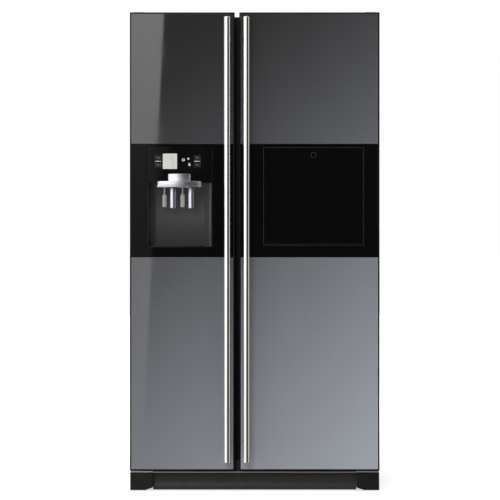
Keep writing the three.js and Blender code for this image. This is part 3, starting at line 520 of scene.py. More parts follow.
def shelf_glass():
    return clear("shelf_glass", (0.88, 0.955, 0.935), 0.02, 1.5)


def compressor_paint():
    return moulded("compressor_paint", (0.012, 0.012, 0.013), 0.3, grain=0.4, dust=0.5)


def condenser_metal():
    return brushed("condenser_metal", (0.12, 0.12, 0.125), 0.45, (1400.0, 8.0, 8.0))


def copper():
    return brushed("pipe_copper", (0.55, 0.26, 0.15), 0.28, (30.0, 30.0, 30.0))


def silver_trim():
    return brushed("silver_trim", (0.62, 0.63, 0.64), 0.26, (4.0, 900.0, 900.0))


def print_white():
    return moulded("print_white", (0.78, 0.79, 0.77), 0.4, grain=0.1, wear=0.0)


def print_grey():
    return moulded("print_grey", (0.33, 0.34, 0.31), 0.4, grain=0.1, wear=0.0)


def lamp_lens():
    return glowing("lamp_lens", (0.95, 0.97, 1.0), 1.6)


# ------------------------------------------------------------------------ mesh helpers


def linked(name, mesh):
    piece = bpy.data.objects.new(name, mesh)
    bpy.context.scene.collection.objects.link(piece)
    return piece


def from_bmesh(name, shape, smooth_angle=math.radians(35)):
    bmesh.ops.recalc_face_normals(shape, faces=shape.faces)
    mesh = bpy.data.meshes.new(name)
    shape.to_mesh(mesh)
    shape.free()
    mesh.shade_smooth()
    mesh.set_sharp_from_angle(angle=smooth_angle)
    return linked(name, mesh)


def dressed(piece, material, body, replaces=()):
    """Gives a piece its material and its body, and hides the nodes it stands for."""
    piece.data.materials.clear()
    piece.data.materials.append(material)
    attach(piece, body)
    if replaces:
        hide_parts(*replaces)
    return piece


def bevelled(piece, width, segments=3, angle=math.radians(30)):
    """Rounds a piece's outer edges by a modifier."""
    bevel = piece.modifiers.new("rounded edges", "BEVEL")
    bevel.width = width
    bevel.segments = segments
    bevel.limit_method = "ANGLE"
    bevel.angle_limit = angle
    bevel.use_clamp_overlap = True
    even = piece.modifiers.new("flat faces", "WEIGHTED_NORMAL")
    even.keep_sharp = True
    return piece


def add_slab(shape, low, high, radius=0.0, segments=3):
    """Adds a block between two corners to a bmesh, with round edges."""
    size = [b - a for a, b in zip(low, high)]
    middle = [(a + b) / 2 for a, b in zip(low, high)]
    matrix = Matrix.Translation(middle) @ Matrix.Diagonal((*size, 1.0))
    made = bmesh.ops.create_cube(shape, size=1.0, matrix=matrix)
    if radius:
        edges = list({e for v in made["verts"] for e in v.link_edges})
        width = min(radius, 0.45 * min(size))
        bmesh.ops.bevel(shape, geom=edges, offset=width, segments=segments, profile=0.5, affect="EDGES")


def slabs(name, boxes, radius=0.001, segments=3):
    """One piece of several round-edged blocks, each given by its two corners."""
    shape = bmesh.new()
    for low, high in boxes:
        add_slab(shape, low, high, radius, segments)
    return from_bmesh(name, shape)


def add_turned(shape, profile, centre, axis="Z", sides=48):
    """Adds a turned body to a bmesh. profile is (radius, height) from one end on the axis to the other."""
    turn = {"X": Matrix.Rotation(math.pi / 2, 4, "Y"), "Y": Matrix.Rotation(-math.pi / 2, 4, "X")}
    matrix = Matrix.Translation(centre) @ turn.get(axis, Matrix.Identity(4))
    rings = []
    for radius, height in profile:
        if radius < 1e-7:
            rings.append([shape.verts.new(matrix @ Vector((0, 0, height)))])
            continue
        ring = []
        for i in range(sides):
            angle = 2 * math.pi * i / sides
            point = Vector((radius * math.cos(angle), radius * math.sin(angle), height))
            ring.append(shape.verts.new(matrix @ point))
        rings.append(ring)
    for first, second in zip(rings, rings[1:]):
        for i in range(sides):
            j = (i + 1) % sides
            if len(first) == 1:
                shape.faces.new((first[0], second[i], second[j]))
            elif len(second) == 1:
                shape.faces.new((first[i], second[0], first[j]))
            else:
                shape.faces.new((first[i], second[i], second[j], first[j]))


def turned(name, bodies, axis="Z", sides=48):
    """One piece of several turned bodies: pairs of a profile and a centre."""
    shape = bmesh.new()
    for profile, centre in bodies:
        add_turned(shape, profile, centre, axis, sides)
    return from_bmesh(name, shape)


def arc(centre, radius, start, end, steps=6):
    """Points of a quarter or other arc in a profile, angles in degrees."""
    points = []
    for i in range(steps + 1):
        angle = math.radians(start + (end - start) * i / steps)
        points.append((centre[0] + radius * math.cos(angle), centre[1] + radius * math.sin(angle)))
    return points


def round_bar(radius, low, high, edge):
    """The profile of a round bar with rounded ends."""
    lower = arc((radius - edge, low + edge), edge, -90, 0)
    upper = arc((radius - edge, high - edge), edge, 0, 90)
    return [(0, low), *lower, *upper, (0, high)]


def pushed(name, outline, start, end, axis="X", bevel=0.0):
    """A flat outline pushed along an axis. For X the outline is (y, z), for Y (x, z), for Z (x, y)."""
    order = {"X": lambda u, v, w: (w, u, v), "Y": lambda u, v, w: (u, w, v), "Z": lambda u, v, w: (u, v, w)}
    shape = bmesh.new()
    ends = [[shape.verts.new(order[axis](u, v, w)) for u, v in outline] for w in (start, end)]
    count = len(outline)
    for i in range(count):
        j = (i + 1) % count
        shape.faces.new((ends[0][i], ends[0][j], ends[1][j], ends[1][i]))
    shape.faces.new(ends[0])
    shape.faces.new(list(reversed(ends[1])))
    piece = from_bmesh(name, shape)
    if bevel:
        bevelled(piece, bevel, 2)
    return piece


def framed(name, x, z, profile, corner=0.004, steps=4):
    """A ring swept round a rectangle. profile is closed, of (outwards, y) points."""
    shape = bmesh.new()
    path = []
    corners = [(x[1], z[0], -90), (x[1], z[1], 0), (x[0], z[1], 90), (x[0], z[0], 180)]
    for cx, cz, start in corners:
        for i in range(steps + 1):
            angle = math.radians(start + 90 * i / steps)
            inward = (math.copysign(corner, cx - (x[0] + x[1]) / 2), math.copysign(corner, cz - (z[0] + z[1]) / 2))
            path.append((cx - inward[0], cz - inward[1], math.cos(angle), math.sin(angle)))
    rings = []
    for px, pz, dx, dz in path:
        rings.append([shape.verts.new((px + dx * (corner + o), y, pz + dz * (corner + o))) for o, y in profile])
    for first, second in zip(rings, rings[1:] + rings[:1]):
        for i in range(len(profile)):
            j = (i + 1) % len(profile)
            shape.faces.new((first[i], second[i], second[j], first[j]))
    return from_bmesh(name, shape)


def pipe(name, points, diameter):
    """A round pipe through points, with smooth bends."""
    curve = bpy.data.curves.new(name, "CURVE")
    curve.dimensions = "3D"
    curve.bevel_depth = diameter / 2
    curve.bevel_resolution = 5
    curve.use_fill_caps = True
    spline = curve.splines.new("NURBS")
    spline.points.add(len(points) - 1)
    for place, point in zip(spline.points, points):
        place.co = (*point, 1.0)
    spline.use_endpoint_u = True
    spline.order_u = 3
    spline.resolution_u = 8
    return linked(name, curve)


def screws(name, places, axis="Y", outward=1.0):
    """Pan-head screws with a round socket in the head, their heads proud of a face."""
    radius = detail_of().screw_head / 2
    shape = bmesh.new()
    for place in places:
        dome = [(0, -1.0 * MM), (radius, -1.0 * MM), (radius, 0.4 * MM), (0.72 * radius, 1.3 * MM), (0.3 * radius, 1.5 * MM)]
        dome += [(0.3 * radius, 0.7 * MM), (0, 0.7 * MM)]
        add_turned(shape, [(r, outward * h) for r, h in dome], place, axis, 20)
    return from_bmesh(name, shape)


def centre_of(node_name):
    low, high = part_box(node_name)
    return (low + high) / 2


def inset(span, by):
    return (span[0] + by, span[1] - by)


# -------------------------------------------------------------------------- the stage


EDGE_AT = math.radians(-3.39)  # where the side card of the studio ends, as seen from the doors
EDGE_LEAN = 0.05
EDGE_SOFT = 0.0006
STRIP_LEVEL = 0.36


def studio_world(strength):
    """The surroundings: white behind the object, even for diffuse light, and cards for reflections."""
    world = bpy.data.worlds.new("studio")
    world.use_nodes = True
    world.cycles.sampling_method = "NONE"
    bpy.context.scene.world = world
    tree = world.node_tree
    tree.nodes.clear()
    way = node(tree, "ShaderNodeSeparateXYZ", {0: node(tree, "ShaderNodeTexCoord").outputs["Generated"]})
    x, y, z = way.outputs
    rise = maths(tree, "ARCSINE", z)
    round_about = maths(tree, "ARCTAN2", x, maths(tree, "MULTIPLY", y, -1.0))
    leaning = maths(tree, "SUBTRACT", round_about, maths(tree, "MULTIPLY", rise, EDGE_LEAN))
    turn = maths(tree, "MULTIPLY_ADD", leaning, 0.5 / math.pi, 0.5)

    def ramp(stops):
        made = node(tree, "ShaderNodeValToRGB", {0: turn})
        band = made.color_ramp
        for i, (degrees, level) in enumerate(stops):
            at = 0.5 + degrees / 360
            stop = band.elements[i] if i < 2 else band.elements.new(at)
            stop.position = at
            stop.color = (level, level, level, 1.0)
        return made.outputs[0]

    # Levels are halves, so that a card brighter than white fits in a ramp.
    cards = ramp(
        [(-180, 0.08), (180, 0.08), (-140, 0.08), (-104, 0.1), (-84, 0.66), (-10, 0.66), (-7, 0.03), (30, 0.03)]
        + [(62, 0.03), (72, 0.38), (98, 0.38), (110, 0.06), (140, 0.08)]
    )
    strip = maths(tree, "MULTIPLY", remap(tree, leaning, EDGE_AT, EDGE_AT - EDGE_SOFT), STRIP_LEVEL)
    fade = remap(tree, rise, math.radians(-7.3), math.radians(8.2))
    level = maths(tree, "ADD", cards, maths(tree, "MULTIPLY", strip, fade))
    level = maths(tree, "MULTIPLY", level, 2.0)
    above = remap(tree, rise, math.radians(28), math.radians(62))
    below = remap(tree, rise, math.radians(-12), math.radians(-40))
    seen = mixed(tree, above, level, (0.95, 0.95, 0.95))
    seen = mixed(tree, below, seen, (0.3, 0.3, 0.3))
    left = remap(tree, x, 0.9, -0.9, 0.45, 1.35)
    even = mixed(tree, remap(tree, z, -0.2, 1.0), (strength * 0.85,) * 3, (strength * 1.1,) * 3)
    even = scaled(tree, even, node(tree, "ShaderNodeCombineXYZ", {0: left, 1: left, 2: left}).outputs[0])
    path = node(tree, "ShaderNodeLightPath")
    light = mixed(tree, path.outputs["Is Glossy Ray"], even, seen)
    light = mixed(tree, path.outputs["Is Transmission Ray"], light, (0.8, 0.8, 0.8))
    light = mixed(tree, path.outputs["Is Camera Ray"], light, (1.0, 1.0, 1.0))
    background = node(tree, "ShaderNodeBackground", {"Color": light, "Strength": 1.0})
    output = tree.nodes.new("ShaderNodeOutputWorld")
    tree.links.new(background.outputs[0], output.inputs["Surface"])


def pale_floor(radius):
    """A round pale floor that turns to plain white away from the object."""
    shape = bmesh.new()
    rings = [0.02, 0.6, 1.2, 2.0, 3.0, 4.5, 8.0, radius]
    profile = [(0, 0), *((r, 0) for r in rings)]
    add_turned(shape, profile, (0, 0, 0), "Z", 64)
    floor = from_bmesh("floor", shape)
    material = bpy.data.materials.new("floor_pale")
    material.use_nodes = True
    tree = material.node_tree
    shader = tree.nodes["Principled BSDF"]
    place = node(tree, "ShaderNodeTexCoord").outputs["Object"]
    away = node(tree, "ShaderNodeVectorMath", {0: place}, operation="LENGTH").outputs["Value"]
    speck = node(tree, "ShaderNodeTexNoise", {"Vector": place, "Scale": 30.0, "Detail": 4.0}).outputs[0]
    tree.links.new(remap(tree, speck, 0.3, 0.7, 0.55, 0.62), shader.inputs["Roughness"])
    shader.inputs["Base Color"].default_value = (0.86, 0.86, 0.86, 1.0)
    white = remap(tree, away, 0.5, 2.6)
    tree.links.new(mixed(tree, white, (0.62, 0.62, 0.62), (1.0, 1.0, 1.0)), shader.inputs["Emission Color"])
    shader.inputs["Emission Strength"].default_value = 1.0
    floor.data.materials.append(material)
    floor.visible_glossy = False


def soft_light(name, place, target, size, power):
    light = bpy.data.lights.new(name, "AREA")
    light.shape = "RECTANGLE"
    light.size, light.size_y = size
    light.energy = power
    lamp = linked(name, light)
    lamp.location = place
    lamp.rotation_euler = (Vector(target) - Vector(place)).to_track_quat("-Z", "Y").to_euler()
    lamp.visible_glossy = False
    lamp.visible_camera = False


class FRIDGE_OT_stage(bpy.types.Operator):
    """Makes the floor, the lights, the surroundings and the camera"""

    bl_idname = "fridge.stage"
    bl_label = "Stage"

    def execute(self, context):
        stage = context.scene.fridge_stage
        context.scene.view_settings.view_transform = "Standard"
        studio_world(stage.sky)
        pale_floor(stage.floor)
        low, high = CAD_BOX
        middle = (0.0, 0.0, (low.z + high.z) / 2)
        soft_light("key_light", (-1.07, -4.6, 2.49), middle, (2.0, 1.0), stage.key)
        soft_light("fill_light", (3.4, -3.0, 1.8), middle, (2.4, 2.4), stage.fill)
        soft_light("top_light", (0.0, -0.6, 4.2), middle, (3.0, 3.0), stage.top)
        soft_light("rear_light", (0.6, 3.8, 2.4), middle, (2.8, 2.4), stage.rear)
        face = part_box("fridge_upper_glass")[0].y
        camera = linked("camera", bpy.data.cameras.new("camera"))
        camera.location = (-stage.aside, face - stage.distance, stage.eye)
        camera.rotation_euler = (math.pi / 2, 0.0, 0.0)
        camera.data.lens = stage.lens
        camera.data.sensor_width = 36.0
        context.scene.camera = camera
        return {"FINISHED"}


# --------------------------------------------------------------- the frame's own nodes

NODE_FINISHES = {
    "cabinet": (cabinet_paint, 1.5),
    "freezer_liner": (liner_white, 4.0),
    "fridge_liner": (liner_white, 4.0),
    "machine_cover": (zinc_steel, 0.4),
    "left_corner_cover": (black_trim, 1.6),
    "right_corner_cover": (black_trim, 1.6),
    "left_lower_hinge": (zinc_steel, 0.6),
    "right_lower_hinge": (zinc_steel, 0.6),
    "left_upper_hinge": (zinc_steel, 0.5),
    "right_upper_hinge": (zinc_steel, 0.5),
    "left_hinge_cover": (black_trim, 2.0),
    "right_hinge_cover": (black_trim, 2.0),
    "condenser": (condenser_metal, 0.5),
    "evaporator_cover": (liner_white, 1.2),
    "ice_maker": (liner_white, 2.0),
    "ice_bucket": (clear_plastic, 1.2),
    "freezer_shelf": (shelf_glass, 0.8),
    "fridge_shelf_upper": (shelf_glass, 0.8),
    "fridge_shelf_lower": (shelf_glass, 0.8),
    "condenser_fan": (black_trim, 0.5),
    "freezer_drawer": (clear_plastic, 1.2),
    "fridge_drawer": (clear_plastic, 1.2),
    "freezer_door": (door_border, 0.5),
    "fridge_door": (door_border, 0.5),
    "freezer_door_liner": (liner_white, 2.0),
    "fridge_door_liner": (liner_white, 2.0),
    "freezer_upper_glass": (grey_glass, 0.5),
    "freezer_lower_glass": (grey_glass, 0.5),
    "fridge_upper_glass": (grey_glass, 0.5),
    "fridge_lower_glass": (grey_glass, 0.5),
    "dispenser_panel": (black_glass, 0.4),
    "bar_panel": (black_glass, 0.4),
    "dispenser_housing": (dispenser_black, 0.7),
    "dispenser_display": (display_window, 0.3),
    "drip_tray": (button_black, 0.5),
    "dispenser_button_upper_left": (button_black, 0.5),
    "dispenser_button_lower_left": (button_black, 0.5),
    "dispenser_button_upper_right": (button_black, 0.5),
    "dispenser_button_lower_right": (button_black, 0.5),
    "freezer_bin_upper": (clear_plastic, 1.2),
    "freezer_bin_lower": (clear_plastic, 1.2),
    "fridge_bin_upper": (clear_plastic, 1.2),
    "fridge_bin_lower": (clear_plastic, 1.2),
    "bar_bin": (clear_plastic, 1.2),
    "bar_latch": (black_glass, 0.5),
}


class FRIDGE_OT_frame_finishes(bpy.types.Operator):
    """Gives the frame's own nodes their finishes and rounds their edges"""

    bl_idname = "fridge.frame_finishes"
    bl_label = "Frame finishes"

    def execute(self, context):
        for name, (material, edge) in NODE_FINISHES.items():
            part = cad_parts[name]
            part.data.materials.clear()
            part.data.materials.append(material())
            weld = part.modifiers.new("welded corners", "WELD")
            weld.merge_threshold = 0.00002
            bevelled(part, edge * MM, 3 if edge > 0.6 else 2, math.radians(40))
        return {"FINISHED"}


# ----------------------------------------------------------------------------- handles


class FRIDGE_OT_handles(bpy.types.Operator):
    """Makes the two bar handles with their posts, collars and set screws"""

    bl_idname = "fridge.handles"
    bl_label = "Handles"

    def execute(self, context):
        end = detail_of().handle_end
        short = 4.5 * MM
        for door in ("freezer", "fridge"):
            low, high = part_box(f"{door}_handle")
            radius = (high.x - low.x) / 2
            x = (low.x + high.x) / 2
            axis_y = low.y + radius
            profile = round_bar(radius, low.z + short, high.z - short, end)
            bar = turned(f"{door}_handle_bar", [(profile, (x, axis_y, 0))], sides=64)
            dressed(bar, brushed_silver(), f"{door}_door", [f"{door}_handle"])
            heights = (low.z + 0.075, high.z - 0.075)
            stem = 0.007
            reach = high.y - axis_y
            post = [(0, 0.6 * radius), (stem, 0.6 * radius), (stem, reach - 6 * MM), (stem + 1 * MM, reach - 5 * MM)]
            post += [(stem + 3 * MM, reach - 4 * MM), (stem + 3 * MM, reach), (0, reach)]
            posts = turned(f"{door}_handle_posts", [(post, (x, axis_y, z)) for z in heights], "Y", 32)
            dressed(posts, brushed_silver(), f"{door}_door")
            grub = [(0, -2 * MM), (1.6 * MM, -2 * MM), (1.6 * MM, 0.1 * MM), (0.9 * MM, 0.1 * MM), (0.9 * MM, -0.6 * MM)]
            grub += [(0, -0.6 * MM)]
            places = [(x, axis_y + 0.7 * reach, z - stem) for z in heights]
            flipped = [(r, -h) for r, h in grub]
            grubs = turned(f"{door}_handle_set_screws", [(flipped, p) for p in places], "Z", 12)
            dressed(grubs, zinc_steel(), f"{door}_door")
        return {"FINISHED"}


# ------------------------------------------------------------------------ door details


GASKET_PROFILE = [
    (1.0, 0.0), (12.0, 0.0), (12.0, 1.8), (10.2, 2.8), (12.3, 4.4), (10.4, 6.0), (12.4, 7.2), (13.0, 7.6),
    (13.0, 10.7), (12.6, 11.05), (0.4, 11.05), (0.0, 10.7), (0.0, 7.6), (0.6, 7.2), (2.6, 6.0), (0.7, 4.4),
    (2.8, 2.8), (1.0, 1.8),
]


class FRIDGE_OT_gaskets(bpy.types.Operator):
    """Makes the folded magnetic gaskets of both doors"""

    bl_idname = "fridge.gaskets"
    bl_label = "Gaskets"

    def execute(self, context):
        for door in ("freezer", "fridge"):
            low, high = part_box(f"{door}_gasket")
            band = 13 * MM
            x = (low.x + band, high.x - band)
            z = (low.z + band, high.z - band)
            depth = (high.y - low.y) / (11.05 * MM)
            profile = [(u * MM, low.y + v * MM * depth) for u, v in GASKET_PROFILE]
            ring = framed(f"{door}_gasket_bellows", x, z, profile, 3 * MM, 3)
            dressed(ring, gasket_rubber(), f"{door}_door", [f"{door}_gasket"])
        return {"FINISHED"}


class FRIDGE_OT_bins(bpy.types.Operator):
    """Makes the rim strips and the front ribs of the door bins"""

    bl_idname = "fridge.bins"
    bl_label = "Door bins"

    def execute(self, context):
        tall = detail_of().bin_trim
        for name in ("freezer_bin_upper", "freezer_bin_lower", "fridge_bin_upper", "fridge_bin_lower", "bar_bin"):
            low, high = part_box(name)
            body = "freezer_door" if name.startswith("freezer") else "fridge_door"
            front = high.y
            rim = [
                ((low.x - 0.2 * MM, front - 3.6 * MM, high.z - tall), (high.x + 0.2 * MM, front + 1.2 * MM, high.z + 1 * MM)),
            ]
            strip = slabs(f"{name}_rim", rim, 1.0 * MM)
            dressed(strip, silver_trim(), body)
            ribs = []
            count = 5
            for i in range(count):
                x = low.x + (high.x - low.x) * (i + 0.5) / count
                ribs.append(
                    ((x - 0.12 * (high.x - low.x) / count, front - 0.4 * MM, low.z + 8 * MM),
                     (x + 0.12 * (high.x - low.x) / count, front + 0.5 * MM, high.z - tall - 6 * MM))
                )
            dressed(slabs(f"{name}_ribs", ribs, 0.4 * MM, 2), clear_plastic(), body)
        return {"FINISHED"}


# --------------------------------------------------------------------------- dispenser


def ring_icon(shape, x, z, y, radius, width, sides=24):
    """A flat ring, printed on a face that looks towards -Y."""
    inner, outer = [], []
    for i in range(sides):
        a = 2 * math.pi * i / sides
        inner.append(shape.verts.new((x + (radius - width) * math.cos(a), y, z + (radius - width) * math.sin(a))))
        outer.append(shape.verts.new((x + radius * math.cos(a), y, z + radius * math.sin(a))))
    for i in range(sides):
        j = (i + 1) % sides
        shape.faces.new((inner[i], inner[j], outer[j], outer[i]))


def bar_icon(shape, start, end, y, width):
    """A flat printed stroke between two (x, z) points."""
    a, b = Vector(start), Vector(end)
    along = (b - a).normalized()
    side = Vector((-along.y, along.x)) * width / 2
    corners = [a - side, b - side, b + side, a + side]
    shape.faces.new([shape.verts.new((c.x, y, c.y)) for c in corners])


def thickened(name, shape, depth):
    """Printed marks as thin raised ink."""
    piece = from_bmesh(name, shape)
    thick = piece.modifiers.new("ink", "SOLIDIFY")
    thick.thickness = depth
    thick.offset = 1.0
    return piece


# The strokes of a seven-segment figure on a unit cell: (x, z) from 0 to 1 across and 0 to 2 up.
STROKES = {
    "a": ((0, 2), (1, 2)), "b": ((1, 2), (1, 1)), "c": ((1, 1), (1, 0)), "d": ((0, 0), (1, 0)),
    "e": ((0, 1), (0, 0)), "f": ((0, 2), (0, 1)), "g": ((0, 1), (1, 1)),
}
FIGURES = {"1": "bc", "8": "abcdefg", "3": "abcdg", "-": "g"}


def figures(shape, text, x, z, y, cell):
    """Seven-segment figures from a left lower corner."""
    for i, figure in enumerate(text):
        left = x + i * 1.7 * cell
        for stroke in FIGURES[figure]:
            (ax, az), (bx, bz) = STROKES[stroke]
            start = (left + ax * cell, z + az * cell)
            end = (left + bx * cell, z + bz * cell)
            bar_icon(shape, start, end, y, 0.2 * cell)


class FRIDGE_OT_dispenser(bpy.types.Operator):
    """Makes the dispenser's lining, trims, hood, spouts, levers, marks and lamp"""

    bl_idname = "fridge.dispenser"
    bl_label = "Dispenser"

    def execute(self, context):
        self.lining()
        self.hood()
        self.spouts_and_levers()
        self.marks()
        return {"FINISHED"}

    def lining(self):
        """The grey lining of the recess, with a painted shade at its left and a faint painted glow, its edge trims,
        the right one a painted highlight, and its lamp.
        """
        low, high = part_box("dispenser_housing")
        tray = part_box("drip_tray")
        face = low.y
        thick = detail_of().lining
        mouth = inset((low.x, high.x), 5 * MM)
        rear_x = inset(mouth, 20 * MM)
        rear_y = high.y - 3 * MM
        z = (tray[0].z - 0.3 * MM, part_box("spout_cover")[0].z + 16 * MM)
        start = face + 1.2 * MM
        share = (start - face) / (rear_y - face)
        front_x = (mouth[0] + 20 * MM * share, mouth[1] - 20 * MM * share)
        shape = bmesh.new()
        soft = 9 * MM

        def column(x, y):
            return [shape.verts.new((x, y, z[0] + 0.1 * MM)), shape.verts.new((x, y, z[1] - 0.1 * MM))]

        gap = 0.15 * MM
        points = [(front_x[0] + gap, start)]
        for side in (-1, 1):
            x = rear_x[0] + gap if side < 0 else rear_x[1] - gap
            centre = (x - side * soft, rear_y - gap - soft)
            steps = range(7) if side < 0 else range(6, -1, -1)
            for i in steps:
                a = math.radians(90) * i / 6
                points.append((centre[0] + side * soft * math.cos(a), centre[1] + soft * math.sin(a)))
        points.append((front_x[1] - gap, start))
        columns = [column(*p) for p in points]
        for first, second in zip(columns, columns[1:]):
            shape.faces.new((first[0], second[0], second[1], first[1]))
        lining = from_bmesh("recess_lining", shape)
        solid = lining.modifiers.new("sheet", "SOLIDIFY")
        solid.thickness = thick
        solid.offset = 0.0
        # Painted shade: the lining darkens towards its left wall.
        shade = (mouth[0] + 2 * MM, rear_x[0] + 10 * MM)
        dressed(lining, recess_grey(shade), "freezer_door")
        # Lit and shaded copies of one edge trim: the right edge in a lighter metal is a painted highlight, the left
        # and lower edges in black are painted shade.
        bar = 1.6 * MM
        right = [((mouth[1] - 0.6 * MM, face - 0.5 * MM, z[0]), (mouth[1] + bar, face + 3 * MM, z[1]))]
        dressed(slabs("recess_right_painted_highlight", right, 0.4 * MM), painted_highlight_trim(), "freezer_door")
        edges = [
            ((mouth[0] - bar, face - 0.1 * MM, z[0]), (mouth[0] + 0.2 * MM, face + 2 * MM, z[1])),
            ((mouth[0] - bar, face - 0.1 * MM, z[0] - bar), (mouth[1] + bar, face + 2 * MM, z[0] + 0.2 * MM)),
        ]
        dressed(slabs("recess_edge_painted_shade", edges, 0.4 * MM), black_trim(), "freezer_door")
        x = (mouth[0] + mouth[1]) / 2
        lamp = [((x - 18 * MM, rear_y - 26 * MM, z[1] - 2.2 * MM), (x + 18 * MM, rear_y - 14 * MM, z[1] - 0.1 * MM))]
        dressed(slabs("recess_lamp", lamp, 0.9 * MM), satin_grey(), "freezer_door")

    def hood(self):
        """The stepped hood over the spouts, brushed round its axis."""
        low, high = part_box("spout_cover")
        x = (low.x + high.x) / 2
        radius = (high.x - low.x) / 2
        y = low.y + radius * 0.447
        base, top = low.z, high.z
        step = base + 22 * MM
        crown = 43.5 * MM
        soft = 1.6 * MM
        profile = [(0, base + 11 * MM), (radius - 5 * MM, base + 11 * MM), (radius - 5 * MM, base + 0.8 * MM)]
        profile += [(radius - 4.2 * MM, base), (radius - 0.8 * MM, base), (radius, base + 0.8 * MM)]
        profile += arc((radius - 2.5 * MM - soft, step - soft), soft, 5, 90, 5)
        profile += [(crown + 0.8 * MM, step), (crown, step + 0.8 * MM)]
        profile += arc((crown - soft, top - soft), soft, 0, 90, 5)
        profile += [(0, top)]
        shape = bmesh.new()
        add_turned(shape, profile, (0, 0, 0), "Z", 96)
        squash = Matrix.Translation((x, y, 0)) @ Matrix.Diagonal((1.0, 0.447, 1.0, 1.0))
        bmesh.ops.transform(shape, matrix=squash, verts=shape.verts)
        hood = from_bmesh("spout_hood", shape, math.radians(40))
        dressed(hood, hood_silver(), "freezer_door", ["spout_cover"])

    def spouts_and_levers(self):
        """The ice chute and the water spout, and the two chromed push levers."""
        low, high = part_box("spout_block")
        top = high.z
        plate_x = (low.x + high.x) / 2
        half = (high.x - low.x) / 2
        plate_y = low.y + half * 0.447
        shape = bmesh.new()
        disc = [(0, top - 4 * MM), (half - 1 * MM, top - 4 * MM), (half, top - 3 * MM), (half, top), (0, top)]
        add_turned(shape, disc, (0, 0, 0), "Z", 64)
        squash = Matrix.Translation((plate_x, plate_y, 0)) @ Matrix.Diagonal((1.0, 0.447, 1.0, 1.0))
        bmesh.ops.transform(shape, matrix=squash, verts=shape.verts)
        plate = from_bmesh("spout_plate", shape)
        dressed(plate, black_trim(), "freezer_door")
        spout_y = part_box("fridge_upper_glass")[0].y + 16 * MM
        tip = low.z
        r, stem = 8.5 * MM, 3 * MM
        profile = [(0, tip + 2 * MM), (3.4 * MM, tip + 2 * MM), (3.8 * MM, tip)]
        profile += arc((r - 2.6 * MM, tip + 2.6 * MM), 2.6 * MM, -90, 0, 5)
        neck = top - 42 * MM
        for i in range(9):
            t = i / 8
            ease = t * t * (3 - 2 * t)
            profile.append((r + (stem - r) * ease, neck + 12 * MM * t))
        profile += [(stem, top - 3 * MM), (0, top - 3 * MM)]
        spouts = [(profile, (plate_x + dx, spout_y, 0)) for dx in (-55.5 * MM, 11 * MM)]
        spouts = turned("dispenser_spouts", spouts, sides=32)
        dressed(spouts, satin_grey(), "freezer_door", ["spout_block"])
        for name in ("ice_lever", "water_lever"):
            a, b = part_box(name)
            r = (b.x - a.x) / 2
            shoulder = b.z - 5 * MM
            profile = [(0, a.z), *arc((r - 3.4 * MM, a.z + 3.4 * MM), 3.4 * MM, -90, 0, 7)]
            profile += [(r - 0.15 * MM, a.z + 12 * MM), (r, a.z + 24 * MM)]
            profile += arc((r - 2.5 * MM, shoulder - 2.5 * MM), 2.5 * MM, 0, 90, 5)
            profile += [(3 * MM, shoulder), (3 * MM, b.z), (0, b.z)]
            lever = turned(f"{name}_bar", [(profile, ((a.x + b.x) / 2, (a.y + b.y) / 2, 0))], sides=64)
            dressed(lever, lever_chrome(), name, [name])

    def marks(self):
        """Generic printed marks: a cube, a drop, a star and the strokes between the buttons."""
        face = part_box("dispenser_housing")[0].y - 0.02 * MM
        window_low, window_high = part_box("dispenser_display")
        right = window_high.x
        mid = (window_low.z + window_high.z) / 2
        shape = bmesh.new()
        cube_x, cube_z = right + 23 * MM, mid + 5 * MM
        corners = [(-4, -3.4), (4, -3.4), (4, 3.4), (-4, 3.4)]
        for (ax, az), (bx, bz) in zip(corners, corners[1:] + corners[:1]):
            start = (cube_x + ax * MM, cube_z + az * MM)
            bar_icon(shape, start, (cube_x + bx * MM, cube_z + bz * MM), face, 1.6 * MM)
        star_x, star_z = right + 41 * MM, mid + 9 * MM
        for i in range(3):
            a = math.pi * i / 3
            d = (4.4 * MM * math.cos(a), 4.4 * MM * math.sin(a))
            bar_icon(shape, (star_x - d[0], star_z - d[1]), (star_x + d[0], star_z + d[1]), face, 1.5 * MM)
        drop_x, drop_z = right + 45 * MM, mid - 13 * MM
        ring_icon(shape, drop_x, drop_z, face, 3.8 * MM, 1.7 * MM)
        bar_icon(shape, (drop_x - 2.8 * MM, drop_z + 2.4 * MM), (drop_x, drop_z + 7 * MM), face, 1.2 * MM)
        bar_icon(shape, (drop_x + 2.8 * MM, drop_z + 2.4 * MM), (drop_x, drop_z + 7 * MM), face, 1.2 * MM)
        for side in ("left", "right"):
            low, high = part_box(f"dispenser_button_upper_{side}")
            bar_icon(shape, (low.x + 2 * MM, mid), (high.x - 2 * MM, mid), face, 1.5 * MM)
        dressed(thickened("panel_marks", shape, 0.06 * MM), print_white(), "freezer_door")
        ink = bmesh.new()
        glass = window_low.y - 0.01 * MM
        figures(ink, "-18", window_low.x + 8 * MM, mid + 6 * MM, glass, 7 * MM)
        figures(ink, "3", window_low.x + 32 * MM, mid - 20 * MM, glass, 7 * MM)
        bar_icon(ink, (window_low.x + 5 * MM, mid), (window_high.x - 5 * MM, mid), glass, 0.8 * MM)
        dressed(thickened("display_figures", ink, 0.04 * MM), print_grey(), "freezer_door")
        for side in ("left", "right"):
            for level in ("upper", "lower"):
                name = f"dispenser_button_{level}_{side}"
                low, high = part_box(name)
                dot = bmesh.new()
                x = (low.x + high.x) / 2
                z = (low.z + high.z) / 2
                bar_icon(dot, (x - 5 * MM, z), (x + 5 * MM, z), low.y - 0.01 * MM, 0.8 * MM)
                dressed(thickened(f"{name}_mark", dot, 0.04 * MM), print_grey(), name)


# ---------------------------------------------------------------------------- home bar


